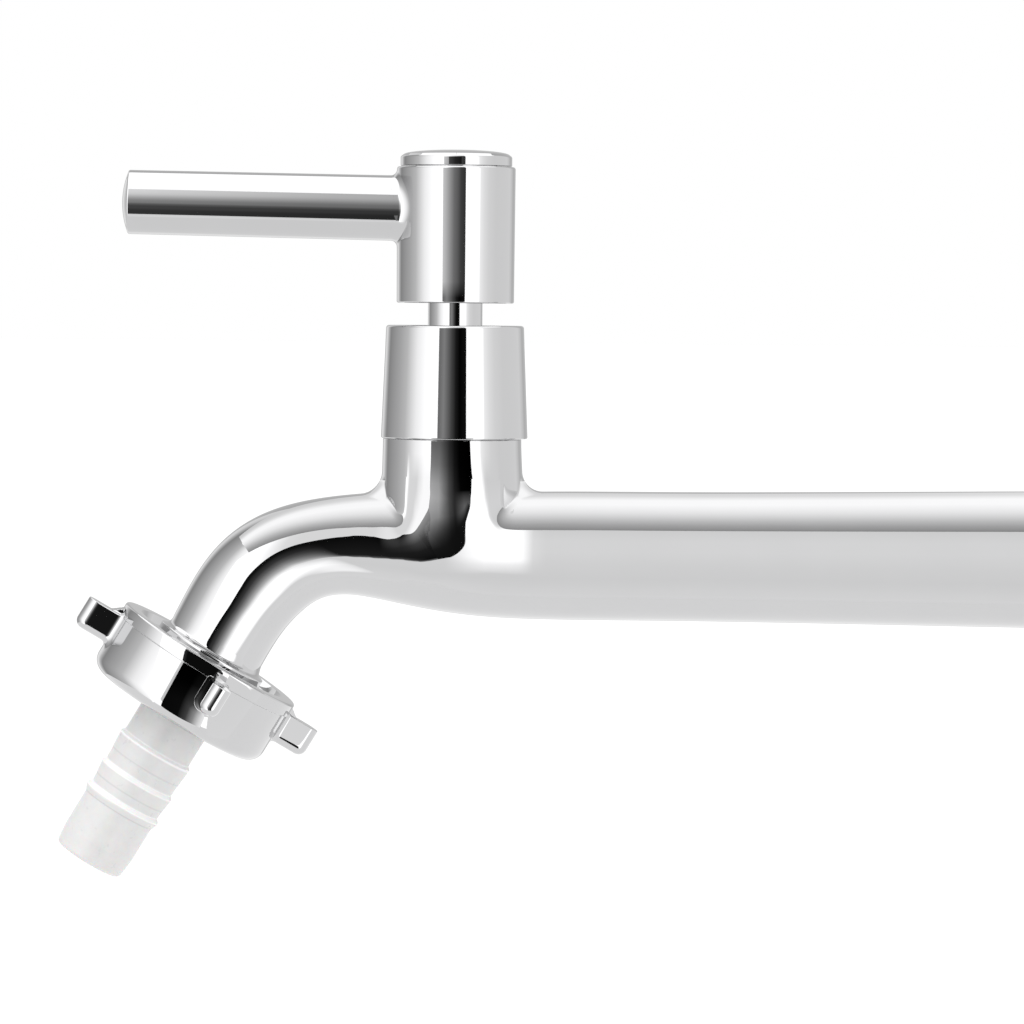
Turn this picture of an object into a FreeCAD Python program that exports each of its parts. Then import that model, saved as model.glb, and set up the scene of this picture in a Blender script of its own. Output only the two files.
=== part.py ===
import FreeCAD, Part
import math
import os

from FreeCAD import Vector as V, Matrix, Placement, Rotation

os.makedirs("parts", exist_ok=True)

# Garden tap with a long tube body, a quarter-turn ceramic headwork with a bar
# lever, and a spout that ends in a four-lug union nut with a plastic hose tail.
# Millimetres.  Origin: centre of the inlet at the finished wall.  +X goes into
# the wall, -X is the spout and lever, +Z is up.
# Shapes are drawn about the stem axis (u = x + STEM_TO_WALL) and moved at export.

# ---------------------------------------------------------------- dimensions
STEM_TO_WALL = 112.0        # stem axis to the finished wall

# tube and spout outer skin: (u, w, radius) down the centreline
SKIN = [
    (24.00, 0.00, 11.00), (20.60, 0.00, 10.985), (17.50, 0.00, 10.96), (14.41, 0.00, 10.91),
    (11.32, 0.00, 10.84), (8.23, 0.04, 10.75), (5.14, 0.14, 10.64),
    (2.03, 0.31, 10.49), (-1.09, 0.55, 10.31), (-4.23, 0.83, 10.06),
    (-7.39, 1.12, 9.75), (-10.56, 1.38, 9.37), (-13.73, 1.56, 8.97),
    (-16.89, 1.61, 8.61), (-20.01, 1.44, 8.39), (-23.06, 0.98, 8.35),
    (-26.00, 0.16, 8.51), (-28.78, -1.08, 8.77), (-31.34, -2.74, 8.99),
    (-33.62, -4.80, 9.05), (-35.60, -7.20, 8.97), (-37.31, -9.84, 8.83),
    (-38.87, -12.60, 8.71), (-40.33, -15.33, 8.65),
]
TUBE_WALL_R = 11.80         # tube radius where it meets the wall
TOWER_R_TOP = 11.85         # valve tower, radius under the bonnet cover
TOWER_R_LOW = 11.95
TOWER_TOP_Z = 19.9
TOWER_OFFSET = -0.35        # tower casting sits slightly off the stem axis
SADDLE_R = 3.4              # fillet between tower and tube

INLET_BORE_R = 7.5          # water way from the wall
INLET_LOW_R = 6.0           # narrowed run under the valve seat
SEAT_Z = 6.5                # valve seat face
SEAT_HOLE_R = 5.0
CHAMBER_R = 9.3
HEAD_THREAD_R = 10.2        # headwork thread in the tower
SPOUT_BORE_R = 6.2

G12_MAJOR_R = 10.478        # G 1/2 male inlet thread
G12_MINOR_R = 9.32
G34_MAJOR_R = 13.10         # G 3/4 male outlet thread, crest
G34_MINOR_R = 12.00
PITCH = 1.814               # both threads, 14 per inch
INLET_THREAD_LEN = 14.0

OUTLET_ANGLE = 31.3         # outlet axis from the vertical
OUT_U, OUT_W = -41.00, -16.75   # a point on the outlet axis; t runs down from it

# union nut, along t
NUT_TOP, NUT_BOTTOM = 0.6, 12.95
NUT_RIM_R, NUT_BODY_R = 16.85, 16.50
NUT_RIM_H = 2.35
NUT_SEAT_T = 11.1
NUT_HOLE_R = 7.15           # the barbs pass through it at assembly
LUG_R = 23.15
LUG_TOP, LUG_BOTTOM = 2.8, 8.15
LUG_W = 3.6
LUG_FIRST = 77.0            # turn of the nut, degrees, in the photo's pose
COLLAR_END_T = 7.6
WASHER_T = 1.8
TAIL_FLANGE_R = 11.4
TAIL_OFFSET = 0.6           # the loose tail sits off the nut axis by this much
TAIL_BORE_R = 4.6
TAIL_END_R = 6.50            # plain land behind the lead-in, t 32.2 to 38.2

# handle
HUB_BOTTOM, HUB_TOP = 43.0, 66.25
HUB_R_TOP, HUB_R_BOTTOM = 10.13, 10.02
CAP_R = 9.53
LEVER_Z = 58.98
LEVER_SLOPE = 0.83
LEVER_R_ROOT, LEVER_R_TIP = 5.60, 5.46
LEVER_LEN = 55.9            # stem axis to the rim of the tip face
LEVER_CROWN = 1.1
STEM_R = 4.65

# bonnet cover
COVER_BOTTOM, COVER_TOP = 19.9, 39.2
COVER_R_BOTTOM, COVER_R_TOP = 12.55, 11.76

# wall flange
FLANGE_R = 26.0
FLANGE_DEPTH = 9.5

# ------------------------------------------------------------------- helpers


def profile(pts):
    """Closed wire in the XZ plane from (r, z) or (r, z, corner_radius)."""
    n = len(pts)
    P = [V(p[0], 0, p[1]) for p in pts]
    R = [p[2] if len(p) > 2 else 0.0 for p in pts]
    ins, outs, arcs = [], [], []
    for i in range(n):
        p0, p1, p2 = P[i - 1], P[i], P[(i + 1) % n]
        if R[i] <= 0:
            ins.append(p1)
            outs.append(p1)
            arcs.append(None)
            continue
        a = (p0 - p1).normalize()
        b = (p2 - p1).normalize()
        phi = math.acos(max(-1.0, min(1.0, a.dot(b))))
        d = R[i] / math.tan(phi / 2)
        t1, t2 = p1 + a * d, p1 + b * d
        bis = (a + b).normalize()
        c = p1 + bis * (R[i] / math.sin(phi / 2))
        m = c - bis * R[i]
        ins.append(t1)
        outs.append(t2)
        arcs.append(m)
    edges = []
    for i in range(n):
        if arcs[i] is not None:
            edges.append(Part.Arc(ins[i], arcs[i], outs[i]).toShape())
        j = (i + 1) % n
        if (ins[j] - outs[i]).Length > 1e-6:
            edges.append(Part.LineSegment(outs[i], ins[j]).toShape())
    return Part.Wire(edges)


def lathe(pts):
    """Solid of revolution about Z from an (r, z) profile."""
    s = Part.Face(profile(pts)).revolve(V(0, 0, 0), V(0, 0, 1), 360)
    return Part.Solid(s.Shells[0]) if s.ShapeType != "Solid" else s


def cyl(r, z0, z1, x=0.0, y=0.0):
    return Part.makeCylinder(r, z1 - z0, V(x, y, z0), V(0, 0, 1))


def ring(r0, r1, z0, z1):
    return lathe([(r0, z0), (r1, z0), (r1, z1), (r0, z1)])


def torus(major, minor, z):
    return Part.makeTorus(major, minor, V(0, 0, z), V(0, 0, 1))


def one(shape):
    """The single solid of a boolean result, with merged faces."""
    s = shape.removeSplitter()
    sol = s.Solids
    if len(sol) != 1:
        sol = sorted(sol, key=lambda q: -q.Volume)
        print("  note: %d solids, volumes %s" % (len(sol), [round(q.Volume, 3) for q in sol]))
    return sol[0]


def helix_ridge(r_root, r_tip, w_root, w_tip, pitch, z0, z1):
    """Right-hand helical ridge between z0 and z1 about Z."""
    h = (z1 - z0) + 2.0 * pitch
    path = Part.makeHelix(pitch, h, r_root)
    prof = Part.makePolygon([
        V(r_root, 0, -w_root / 2), V(r_tip, 0, -w_tip / 2),
        V(r_tip, 0, w_tip / 2), V(r_root, 0, w_root / 2),
        V(r_root, 0, -w_root / 2)])
    s = Part.Wire(path).makePipeShell([prof], True, True)
    if s.Volume < 0:
        s.reverse()
    s.translate(V(0, 0, z0 - pitch))
    return s


def along_x(shape):
    """Turns a shape drawn about +Z so that its axis lies along +X."""
    s = shape.copy()
    s.rotate(V(0, 0, 0), V(0, 1, 0), 90)
    return s


def at_wall(shape):
    """From wall coordinates to stem coordinates."""
    s = shape.copy()
    s.translate(V(STEM_TO_WALL, 0, 0))
    return s


SA, CA = math.sin(math.radians(OUTLET_ANGLE)), math.cos(math.radians(OUTLET_ANGLE))
OUTLET = Placement(Matrix(CA, 0, -SA, OUT_U,
                          0, -1, 0, 0,
                          -SA, 0, -CA, OUT_W,
                          0, 0, 0, 1))


def on_outlet(shape):
    """From outlet coordinates (Z down the outlet axis) to stem coordinates."""
    s = shape.copy()
    s.Placement = OUTLET.multiply(s.Placement)
    return s


def frame_circle(p, t, r):
    """Circle of radius r at p, normal t, seam on the +Y side."""
    t = V(t).normalize()
    y = V(0, 1, 0)
    n = t.cross(y)
    m = Matrix(y.x, n.x, t.x, p.x, y.y, n.y, t.y, p.y, y.z, n.z, t.z, p.z, 0, 0, 0, 1)
    c = Part.Wire([Part.Circle(V(0, 0, 0), V(0, 0, 1), r).toShape()])
    c.Placement = Placement(m)
    return c


def pipe(rows):
    """Smooth solid through circles given as (u, w, radius)."""
    pts = [V(u, 0, w) for u, w, r in rows]
    curve = Part.BSplineCurve()
    curve.interpolate(pts, InitialTangent=(pts[1] - pts[0]), FinalTangent=(pts[-1] - pts[-2]))
    wires = []
    for p, (u, w, r) in zip(pts, rows):
        wires.append(frame_circle(p, curve.tangent(curve.parameter(p))[0], r))
    return Part.makeLoft(wires, True, False)


def outlet_point(t):
    return (OUT_U - SA * t, OUT_W - CA * t)


PARTS = {}

# -------------------------------------------------------------- body casting
# outer skin: straight flaring tube, then tube and spout in one smooth sweep
flare = Part.BSplineCurve()
flare.interpolate([V(SKIN[0][2], 0, SKIN[0][0]), V(11.04, 0, 42.0), V(11.15, 0, 54.0),
                   V(11.30, 0, 68.0), V(11.47, 0, 82.0), V(11.68, 0, 97.0),
                   V(TUBE_WALL_R, 0, STEM_TO_WALL)],
                  InitialTangent=V(0.004, 0, 1), FinalTangent=V(0.006, 0, 1))
tube = Part.Face(Part.Wire([
    flare.toShape(),
    Part.LineSegment(V(TUBE_WALL_R, 0, STEM_TO_WALL), V(0, 0, STEM_TO_WALL)).toShape(),
    Part.LineSegment(V(0, 0, STEM_TO_WALL), V(0, 0, SKIN[0][0])).toShape(),
    Part.LineSegment(V(0, 0, SKIN[0][0]), V(SKIN[0][2], 0, SKIN[0][0])).toShape(),
])).revolve(V(0, 0, 0), V(0, 0, 1), 360)
tube = along_x(tube if tube.ShapeType == "Solid" else Part.Solid(tube.Shells[0]))
end_rows = [outlet_point(t) + (8.65,) for t in (1.5, 4.5)]
skin = pipe(SKIN + end_rows)

# valve tower, faired into the tube towards its axis
tower_secs = [(TOWER_TOP_Z, TOWER_R_TOP, TOWER_R_TOP, TOWER_OFFSET),
              (15.0, TOWER_R_LOW, TOWER_R_LOW - 0.03, TOWER_OFFSET),
              (10.0, TOWER_R_LOW + 0.05, TOWER_R_LOW - 0.25, TOWER_OFFSET),
              (5.0, TOWER_R_LOW + 0.05, TOWER_R_LOW - 0.85, TOWER_OFFSET),
              (0.0, TOWER_R_LOW, TOWER_R_LOW - 1.75, TOWER_OFFSET)]


def ellipse_wire(z, rx, ry, dx):
    if abs(rx - ry) < 1e-6:
        e = Part.Circle(V(dx, 0, z), V(0, 0, 1), rx).toShape()
    else:
        e = Part.Ellipse(V(dx + rx, 0, z), V(dx, ry, z), V(dx, 0, z)).toShape()
    return Part.Wire([e])


tower = Part.makeLoft([ellipse_wire(*s) for s in tower_secs], True, False)
outer = skin.fuse(tower).removeSplitter()
saddle = [e for e in outer.Edges
          if e.BoundBox.ZMin > 0.5 and e.BoundBox.ZMax < 13.5
          and e.BoundBox.XLength > 3 and abs(e.BoundBox.Center.x) < 14
          and e.BoundBox.ZLength > 1]
print("saddle edges", len(saddle))
for rad in (SADDLE_R, 2.4, 1.8, 1.2):
    try:
        f = outer.makeFillet(rad, saddle)
        if f.isValid() and len(f.Solids) == 1 and f.Volume > 0:
            outer = f
            print("saddle fillet", rad)
            break
    except Exception as err:
        print("saddle fillet %.1f failed: %s" % (rad, err))

# outlet collar: plain neck with a small root radius, then the union thread
neck = on_outlet(lathe([(0, -2.2), (8.0, -2.2), (8.8, -0.9, 1.6), (10.05, 0.1, 0.25), (10.05, 1.75), (12.0, 1.75), (12.0, COLLAR_END_T, 0.4),
                        (0, COLLAR_END_T)]))
collar_ridge = helix_ridge(G34_MINOR_R - 0.15, G34_MAJOR_R, 1.62, 0.36, PITCH, 1.75, COLLAR_END_T)
collar_ridge = collar_ridge.common(ring(11.0, 14.0, 1.75, COLLAR_END_T - 0.1))
body = outer.fuse(tube).fuse(neck)
for s in collar_ridge.Solids:
    body = body.fuse(on_outlet(s))

# inlet thread beyond the wall shoulder, crests and grooves
thread_pts = [(0, -2.0), (G12_MAJOR_R, -2.0)]
z = 0.0
while z + 0.75 < INLET_THREAD_LEN - 0.5:
    if z > 0:
        thread_pts.append((G12_MAJOR_R, z))
    thread_pts += [(G12_MAJOR_R, z + 0.75), (G12_MINOR_R + 0.1, z + 1.18),
                   (G12_MINOR_R + 0.1, z + 1.38)]
    z += PITCH
thread_end = z - PITCH + 0.75
thread_pts = thread_pts[:-2] + [(G12_MINOR_R, INLET_THREAD_LEN), (0, INLET_THREAD_LEN)]
inlet = at_wall(along_x(lathe(thread_pts)))
body = body.fuse(inlet)

# water ways
inlet_bore = Part.makeCylinder(INLET_BORE_R, STEM_TO_WALL + INLET_THREAD_LEN + 2 - 14.0,
                               V(14.0, 0, 0), V(1, 0, 0))
low_bore = Part.makeCylinder(INLET_LOW_R, 14.5 + 5.5, V(-5.5, 0, -1.3), V(1, 0, 0))
seat_hole = cyl(SEAT_HOLE_R, -1.5, SEAT_Z + 0.1)
chamber = cyl(CHAMBER_R, SEAT_Z, 15.4)
head_thread = cyl(HEAD_THREAD_R, 15.2, TOWER_TOP_Z + 2)
lead_in = lathe([(HEAD_THREAD_R - 0.2, 19.3), (HEAD_THREAD_R, 19.3), (HEAD_THREAD_R + 0.65, 20.0),
                 (HEAD_THREAD_R - 0.2, 20.0)])
port = Part.makeCylinder(3.3, 10.9, V(-6.0, 0, 9.6), V(-9.0, 0, -6.1))
port = port.common(Part.makeBox(12, 20, 30, V(-20.6, -10, -10)))
spout_rows = [(u, w * 0.9, SPOUT_BORE_R) for u, w, r in SKIN if u < -12.5] + \
             [outlet_point(t) + (SPOUT_BORE_R,) for t in (1.5, 5.0, COLLAR_END_T + 1.0)]
spout_bore = pipe(spout_rows)
for tool in (inlet_bore, low_bore, seat_hole, chamber, head_thread, port, spout_bore):
    body = body.cut(tool)
PARTS["body_casting"] = one(body)

# --------------------------------------------------------------- wall flange
# spun shell, loose on the tube, back rim flat on the wall
fl = lathe([(TUBE_WALL_R + 0.30, -FLANGE_DEPTH), (TUBE_WALL_R + 1.5, -FLANGE_DEPTH, 0.5),
            (TUBE_WALL_R + 3.6, -FLANGE_DEPTH + 1.3, 2.0), (21.5, -6.2, 8.0), (FLANGE_R, -3.0, 2.0),
            (FLANGE_R, 0.0), (FLANGE_R - 3.2, 0.0), (FLANGE_R - 3.2, -1.2), (FLANGE_R - 1.3, -1.2),
            (FLANGE_R - 1.3, -2.5, 1.0), (21.0, -4.9, 7.0), (TUBE_WALL_R + 3.2, -FLANGE_DEPTH + 2.7, 1.5),
            (TUBE_WALL_R + 1.6, -FLANGE_DEPTH + 1.7), (TUBE_WALL_R + 1.6, -FLANGE_DEPTH + 3.4),
            (TUBE_WALL_R + 0.30, -FLANGE_DEPTH + 3.4)])
PARTS["wall_flange"] = at_wall(along_x(fl))

# ------------------------------------------------------------------ headwork
seal = lathe([(5.4, SEAT_Z), (7.7, SEAT_Z), (7.7, 7.2), (6.45, 7.2), (6.45, 8.1), (5.4, 8.1)])
PARTS["seat_seal"] = seal

# turned brass barrel: disc chamber with two side windows, thread, hexagon, neck
barrel = lathe([(6.55, 7.2), (8.0, 7.2), (8.0, 15.0), (HEAD_THREAD_R, 16.0),
                (HEAD_THREAD_R, 19.9), (9.0, 19.9), (9.0, 20.7), (10.7, 20.7), (10.7, 22.0),
                (8.85, 22.0), (8.85, 28.4), (7.0, 28.4), (7.0, 36.0, 0.2), (STEM_R + 0.06, 36.0),
                (STEM_R + 0.06, 19.4), (6.55, 19.0)])
hexa = Part.Face(Part.makePolygon([V(10.35 * math.cos(math.radians(30 + 60 * i)),
                                     10.35 * math.sin(math.radians(30 + 60 * i)), 22.0)
                                   for i in range(7)])).extrude(V(0, 0, 6.4))
hexa = hexa.common(lathe([(0, 22.0), (10.35, 22.0), (10.35, 27.8), (9.6, 28.4), (0, 28.4)]))
hexa = hexa.cut(cyl(8.0, 21.0, 29.0))
barrel = barrel.fuse(hexa)
for sgn in (1, -1):
    barrel = barrel.cut(Part.makeBox(4.0, 6.4, 2.5, V(5.0 if sgn > 0 else -9.0, -3.2, 12.4)))
PARTS["headwork_body"] = one(barrel)

PARTS["headwork_gasket"] = ring(9.15, 10.7, 19.9, 20.7)


def disc(z0, z1, turn):
    """Ceramic disc with two opposite quarter openings."""
    d = cyl(6.45, z0, z1)
    for k in (0, 180):
        sector = Part.Face(Part.Wire([
            Part.LineSegment(V(1.2, 0.0, z0 - 1), V(5.0, 0.0, z0 - 1)).toShape(),
            Part.Arc(V(5.0, 0.0, z0 - 1), V(5.0 * math.cos(math.radians(40)), 5.0 * math.sin(math.radians(40)), z0 - 1),
                     V(5.0 * math.cos(math.radians(80)), 5.0 * math.sin(math.radians(80)), z0 - 1)).toShape(),
            Part.LineSegment(V(5.0 * math.cos(math.radians(80)), 5.0 * math.sin(math.radians(80)), z0 - 1),
                             V(1.2 * math.cos(math.radians(80)), 1.2 * math.sin(math.radians(80)), z0 - 1)).toShape(),
            Part.Arc(V(1.2 * math.cos(math.radians(80)), 1.2 * math.sin(math.radians(80)), z0 - 1),
                     V(1.2 * math.cos(math.radians(40)), 1.2 * math.sin(math.radians(40)), z0 - 1),
                     V(1.2, 0.0, z0 - 1)).toShape()])).extrude(V(0, 0, z1 - z0 + 2))
        sector.rotate(V(0, 0, 0), V(0, 0, 1), turn + k)
        d = d.cut(sector)
    return d


PARTS["fixed_disc"] = one(disc(8.1, 10.3, -40.0))

# the moving disc has the same openings, and a slot across it for the spindle tang
mov = disc(10.35, 12.55, 50.0)
slot = Part.makeBox(14.0, 2.4, 1.2, V(-7.0, -1.2, 11.45))
PARTS["moving_disc"] = one(mov.cut(slot))

# spindle: tang, thrust collar, plain stem with two seal grooves, clip groove,
# splined end and a tapped hole for the handle screw
spin = lathe([(0, 12.60), (6.3, 12.60, 0.2), (6.3, 18.9, 0.3), (STEM_R, 18.9), (STEM_R, 23.0),
              (STEM_R - 1.0, 23.0), (STEM_R - 1.0, 25.0), (STEM_R, 25.0), (STEM_R, 29.0),
              (STEM_R - 1.0, 29.0), (STEM_R - 1.0, 31.0), (STEM_R, 31.0), (STEM_R, 36.55),
              (STEM_R - 0.8, 36.55), (STEM_R - 0.8, 37.35), (STEM_R, 37.35), (STEM_R, 46.0),
              (3.9, 46.0), (3.9, 57.4, 0.4), (0, 57.4)])
for i in range(20):
    g = Part.makeCylinder(0.42, 11.6, V(3.95, 0, 46.0), V(0, 0, 1))
    g.rotate(V(0, 0, 0), V(0, 0, 1), 18.0 * i)
    spin = spin.cut(g)
spin = spin.cut(cyl(1.65, 46.5, 58.0))
tang = Part.makeBox(12.0, 2.3, 1.2, V(-6.0, -1.15, 11.47)).common(cyl(6.0, 11.0, 15.0))
spin = spin.fuse(tang)
for sgn in (1, -1):
    pocket = Part.makeBox(7.0, 5.6, 2.4, V(-3.5, 1.6 if sgn > 0 else -7.2, 12.5))
    spin = spin.cut(pocket)
PARTS["spindle"] = one(spin)

rings = [torus(STEM_R - 0.42, 0.56, 24.0), torus(STEM_R - 0.42, 0.56, 30.0)]
rings = [t.common(ring(STEM_R - 1.0, STEM_R + 0.03, 20.0, 35.0)) for t in rings]
PARTS["spindle_o_rings"] = Part.makeCompound([one(t) for t in rings])

PARTS["thrust_washer"] = ring(STEM_R + 0.04, 6.4, 36.05, 36.50)

clip = ring(STEM_R - 0.8, 6.2, 36.55, 37.30)
clip = clip.cut(Part.makeBox(8.0, 3.6, 3.0, V(0.5, -1.8, 35.8)))
for sgn in (1, -1):
    ear = Part.makeCylinder(1.15, 0.75, V(5.55, sgn * 2.75, 36.55), V(0, 0, 1))
    ear = ear.cut(Part.makeCylinder(0.45, 2.0, V(5.6, sgn * 2.75, 36.0), V(0, 0, 1)))
    clip = clip.fuse(ear)
clip = clip.cut(cyl(STEM_R - 0.8, 36.0, 38.0)).common(cyl(6.7, 36.0, 38.0))
PARTS["spindle_circlip"] = one(clip)

# -------------------------------------------------------------- bonnet cover
cover = lathe([(11.0, COVER_BOTTOM), (COVER_R_BOTTOM, COVER_BOTTOM, 0.25),
               (COVER_R_TOP, COVER_TOP, 0.45), (STEM_R + 0.35, COVER_TOP, 0.2),
               (STEM_R + 0.35, 37.7), (7.0, 37.7), (7.0, 29.4), (9.0, 29.4),
               (11.0, 28.7)])
PARTS["bonnet_cover"] = one(cover)

# -------------------------------------------------------------------- handle
hub = lathe([(0, HUB_BOTTOM), (HUB_R_BOTTOM, HUB_BOTTOM, 0.28), (HUB_R_TOP, HUB_TOP, 0.40),
             (0, HUB_TOP)])
crown_r = (LEVER_R_TIP ** 2 + LEVER_CROWN ** 2) / (2 * LEVER_CROWN)
bar = Part.makeCone(LEVER_R_ROOT, LEVER_R_TIP, LEVER_LEN + 2.0, V(0, 0, 0), V(0, 0, 1))
ball = Part.makeSphere(crown_r, V(0, 0, LEVER_LEN + LEVER_CROWN - crown_r), V(0, 0, 1))
bar = bar.common(ball.fuse(cyl(8.0, -1.0, LEVER_LEN - 3.0)))
rim = [e for e in bar.Edges if abs(e.BoundBox.Center.z - LEVER_LEN) < 0.3 and e.BoundBox.XLength > 8]
print("lever tip edges", len(rim))
bar = bar.makeFillet(0.30, rim)
bar = bar.Solids[0]
bar = bar if bar.ShapeType == "Solid" else Part.Solid(bar.Shells[0])
bar.rotate(V(0, 0, 0), V(0, 1, 0), -90 + LEVER_SLOPE)
bar.translate(V(0, 0, LEVER_Z))
handle = hub.fuse(bar).removeSplitter()
root = [e for e in handle.Edges if e.BoundBox.XMax < -5 and e.BoundBox.XMin > -12
        and e.BoundBox.ZMin > 52 and e.BoundBox.ZMax < 66 and e.BoundBox.ZLength > 2]
print("lever root edges", len(root))
for rad in (0.9, 0.6, 0.4):
    try:
        f = handle.makeFillet(rad, root)
        if f.isValid() and f.Volume > 0:
            handle = f
            print("lever root fillet", rad)
            break
    except Exception as err:
        print("lever root fillet failed", err)
socket = lathe([(0, 42.0), (STEM_R + 0.05, 42.0), (STEM_R + 0.05, 46.1), (3.95, 46.1),
                (3.95, 57.6), (2.2, 57.6), (2.2, 58.6), (6.9, 58.6), (6.9, 67.0), (0, 67.0)])
handle = handle.cut(socket)
PARTS["lever_handle"] = one(handle)

# handle screw with a cross recess, and its spring washer
screw = lathe([(0, 47.0), (1.35, 47.0), (1.65, 47.5), (1.65, 59.5), (3.9, 59.5), (3.9, 60.9, 0.7),
               (2.6, 61.7, 0.8), (0, 61.7)])
cross = Part.makeBox(4.2, 0.8, 1.6, V(-2.1, -0.4, 60.4)).fuse(
    Part.makeBox(0.8, 4.2, 1.6, V(-0.4, -2.1, 60.4)))
PARTS["handle_screw"] = one(screw.cut(cross))

lock = ring(2.25, 4.2, 58.6, 59.5)
lock = lock.cut(Part.makeBox(4.0, 0.6, 2.0, V(1.0, -0.3, 58.0)))
PARTS["screw_spring_washer"] = one(lock)

# snap-in cap with a seal ring on its skirt
cap_edges = [
    Part.LineSegment(V(0, 0, 64.6), V(5.3, 0, 64.6)).toShape(),
    Part.LineSegment(V(5.3, 0, 64.6), V(5.3, 0, 62.3)).toShape(),
    Part.LineSegment(V(5.3, 0, 62.3), V(6.80, 0, 62.3)).toShape(),
    Part.LineSegment(V(6.80, 0, 62.3), V(6.80, 0, 63.3)).toShape(),
    Part.LineSegment(V(6.80, 0, 63.3), V(6.0, 0, 63.3)).toShape(),
    Part.LineSegment(V(6.0, 0, 63.3), V(6.0, 0, 64.8)).toShape(),
    Part.LineSegment(V(6.0, 0, 64.8), V(6.80, 0, 64.8)).toShape(),
    Part.LineSegment(V(6.80, 0, 64.8), V(6.80, 0, 66.35)).toShape(),
    Part.LineSegment(V(6.80, 0, 66.35), V(CAP_R - 0.15, 0, 66.35)).toShape(),
    Part.LineSegment(V(CAP_R - 0.15, 0, 66.35), V(CAP_R, 0, 66.50)).toShape(),
    Part.LineSegment(V(CAP_R, 0, 66.50), V(CAP_R, 0, 67.75)).toShape(),
    Part.Arc(V(CAP_R, 0, 67.75), V(CAP_R - 0.20, 0, 68.15), V(CAP_R - 0.62, 0, 68.42)).toShape()]
dome = Part.BSplineCurve()
dome.interpolate([V(CAP_R - 0.62, 0, 68.42), V(7.8, 0, 68.72), V(5.1, 0, 69.02), V(2.4, 0, 69.12),
                  V(0, 0, 69.14)], InitialTangent=V(-1, 0, 0.42), FinalTangent=V(-1, 0, 0))
cap_edges.append(dome.toShape())
cap_edges.append(Part.LineSegment(V(0, 0, 69.14), V(0, 0, 64.6)).toShape())
cap = Part.Face(Part.Wire(cap_edges)).revolve(V(0, 0, 0), V(0, 0, 1), 360)
PARTS["handle_cap"] = cap if cap.ShapeType == "Solid" else Part.Solid(cap.Shells[0])

PARTS["cap_o_ring"] = one(torus(6.46, 0.72, 64.05).common(ring(6.0, 6.88, 63.0, 65.0)))

# ------------------------------------------------------------------- outlet
nut = lathe([(0, NUT_BOTTOM), (0, NUT_TOP + 0.6), (NUT_BODY_R, NUT_TOP + 0.6), (NUT_BODY_R, NUT_BOTTOM, 2.6)])
rim_band = lathe([(14.8, NUT_TOP), (NUT_RIM_R, NUT_TOP, 0.35), (NUT_RIM_R, NUT_TOP + NUT_RIM_H, 0.20),
                  (NUT_BODY_R - 0.3, NUT_TOP + NUT_RIM_H + 0.35), (14.8, NUT_TOP + NUT_RIM_H + 0.35)])
nut_inside = lathe([(0, NUT_BOTTOM + 1), (NUT_HOLE_R, NUT_BOTTOM + 1), (NUT_HOLE_R, NUT_SEAT_T),
                    (G34_MINOR_R + 0.25, NUT_SEAT_T), (G34_MINOR_R + 0.25, NUT_TOP + 1.1),
                    (G34_MINOR_R + 2.0, NUT_TOP), (G34_MINOR_R + 2.0, NUT_TOP - 1), (0, NUT_TOP - 1)])
lug2d = Part.Face(profile([(14.5, LUG_TOP), (LUG_R, LUG_TOP, 0.15), (LUG_R, LUG_BOTTOM, 1.5),
                           (14.5, LUG_BOTTOM)]))
web2d = Part.Face(Part.makePolygon([V(15.5, 0, NUT_TOP + 0.35), V(NUT_RIM_R - 0.1, 0, NUT_TOP + 0.35),
                                    V(20.2, 0, LUG_TOP + 0.05), V(20.2, 0, LUG_TOP + 1.5),
                                    V(15.5, 0, LUG_TOP + 1.5), V(15.5, 0, NUT_TOP + 0.35)]))
lug = lug2d.extrude(V(0, LUG_W, 0))
lug.translate(V(0, -LUG_W / 2, 0))
low = [e for e in lug.Edges if e.BoundBox.ZMin > LUG_TOP + 0.8 and e.BoundBox.YLength < 0.01]
try:
    lug = lug.makeFillet(1.2, low)
    print("lug fillet", lug.isValid())
except Exception as err:
    print("lug fillet failed", err)
web = web2d.extrude(V(0, 2.0, 0))
web.translate(V(0, -1.0, 0))
nut_outer = nut
for k in range(4):
    s = lug.copy()
    s.rotate(V(0, 0, 0), V(0, 0, 1), 90 * k)
    nut_outer = nut_outer.fuse(s)
nut_outer = nut_outer.removeSplitter()
roots = []
for e in nut_outer.Edges:
    p = e.valueAt((e.FirstParameter + e.LastParameter) / 2)
    if abs(math.hypot(p.x, p.y) - NUT_BODY_R) < 0.08 and LUG_TOP + 0.6 < p.z < LUG_BOTTOM + 0.1 \
            and e.BoundBox.DiagonalLength < 9:
        roots.append(e)
print("lug root edges", len(roots))
for rad in (1.3, 1.0, 0.7, 0.5):
    try:
        f = nut_outer.makeFillet(rad, roots)
        if f.isValid() and f.Volume > 0 and len(f.Solids) == 1:
            nut_outer = f
            print("lug root fillet", rad)
            break
        print("lug root fillet invalid", rad)
    except Exception as err:
        print("lug root fillet failed", rad, err)
nut_outer = nut_outer.fuse(rim_band)
for k in range(4):
    s = web.copy()
    s.rotate(V(0, 0, 0), V(0, 0, 1), 90 * k)
    nut_outer = nut_outer.fuse(s)
nut_outer = nut_outer.cut(nut_inside)
nut_outer.rotate(V(0, 0, 0), V(0, 0, 1), LUG_FIRST)
GROOVE_T = 0.8              # the groove's run before it is turned to meet the collar's thread
groove = helix_ridge(G34_MINOR_R - 0.15, G34_MAJOR_R + 0.20, 1.92, 0.60, PITCH, GROOVE_T, NUT_SEAT_T - 1.6)
groove.translate(V(0, 0, (1.75 - GROOVE_T) % PITCH))
groove = groove.common(ring(11.0, 14.0, GROOVE_T - 0.3, NUT_SEAT_T - 1.9))
print("groove solids", len(groove.Solids), round(groove.Volume, 1))
nut = nut_outer
for s in groove.Solids:
    nut = nut.cut(s)
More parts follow.
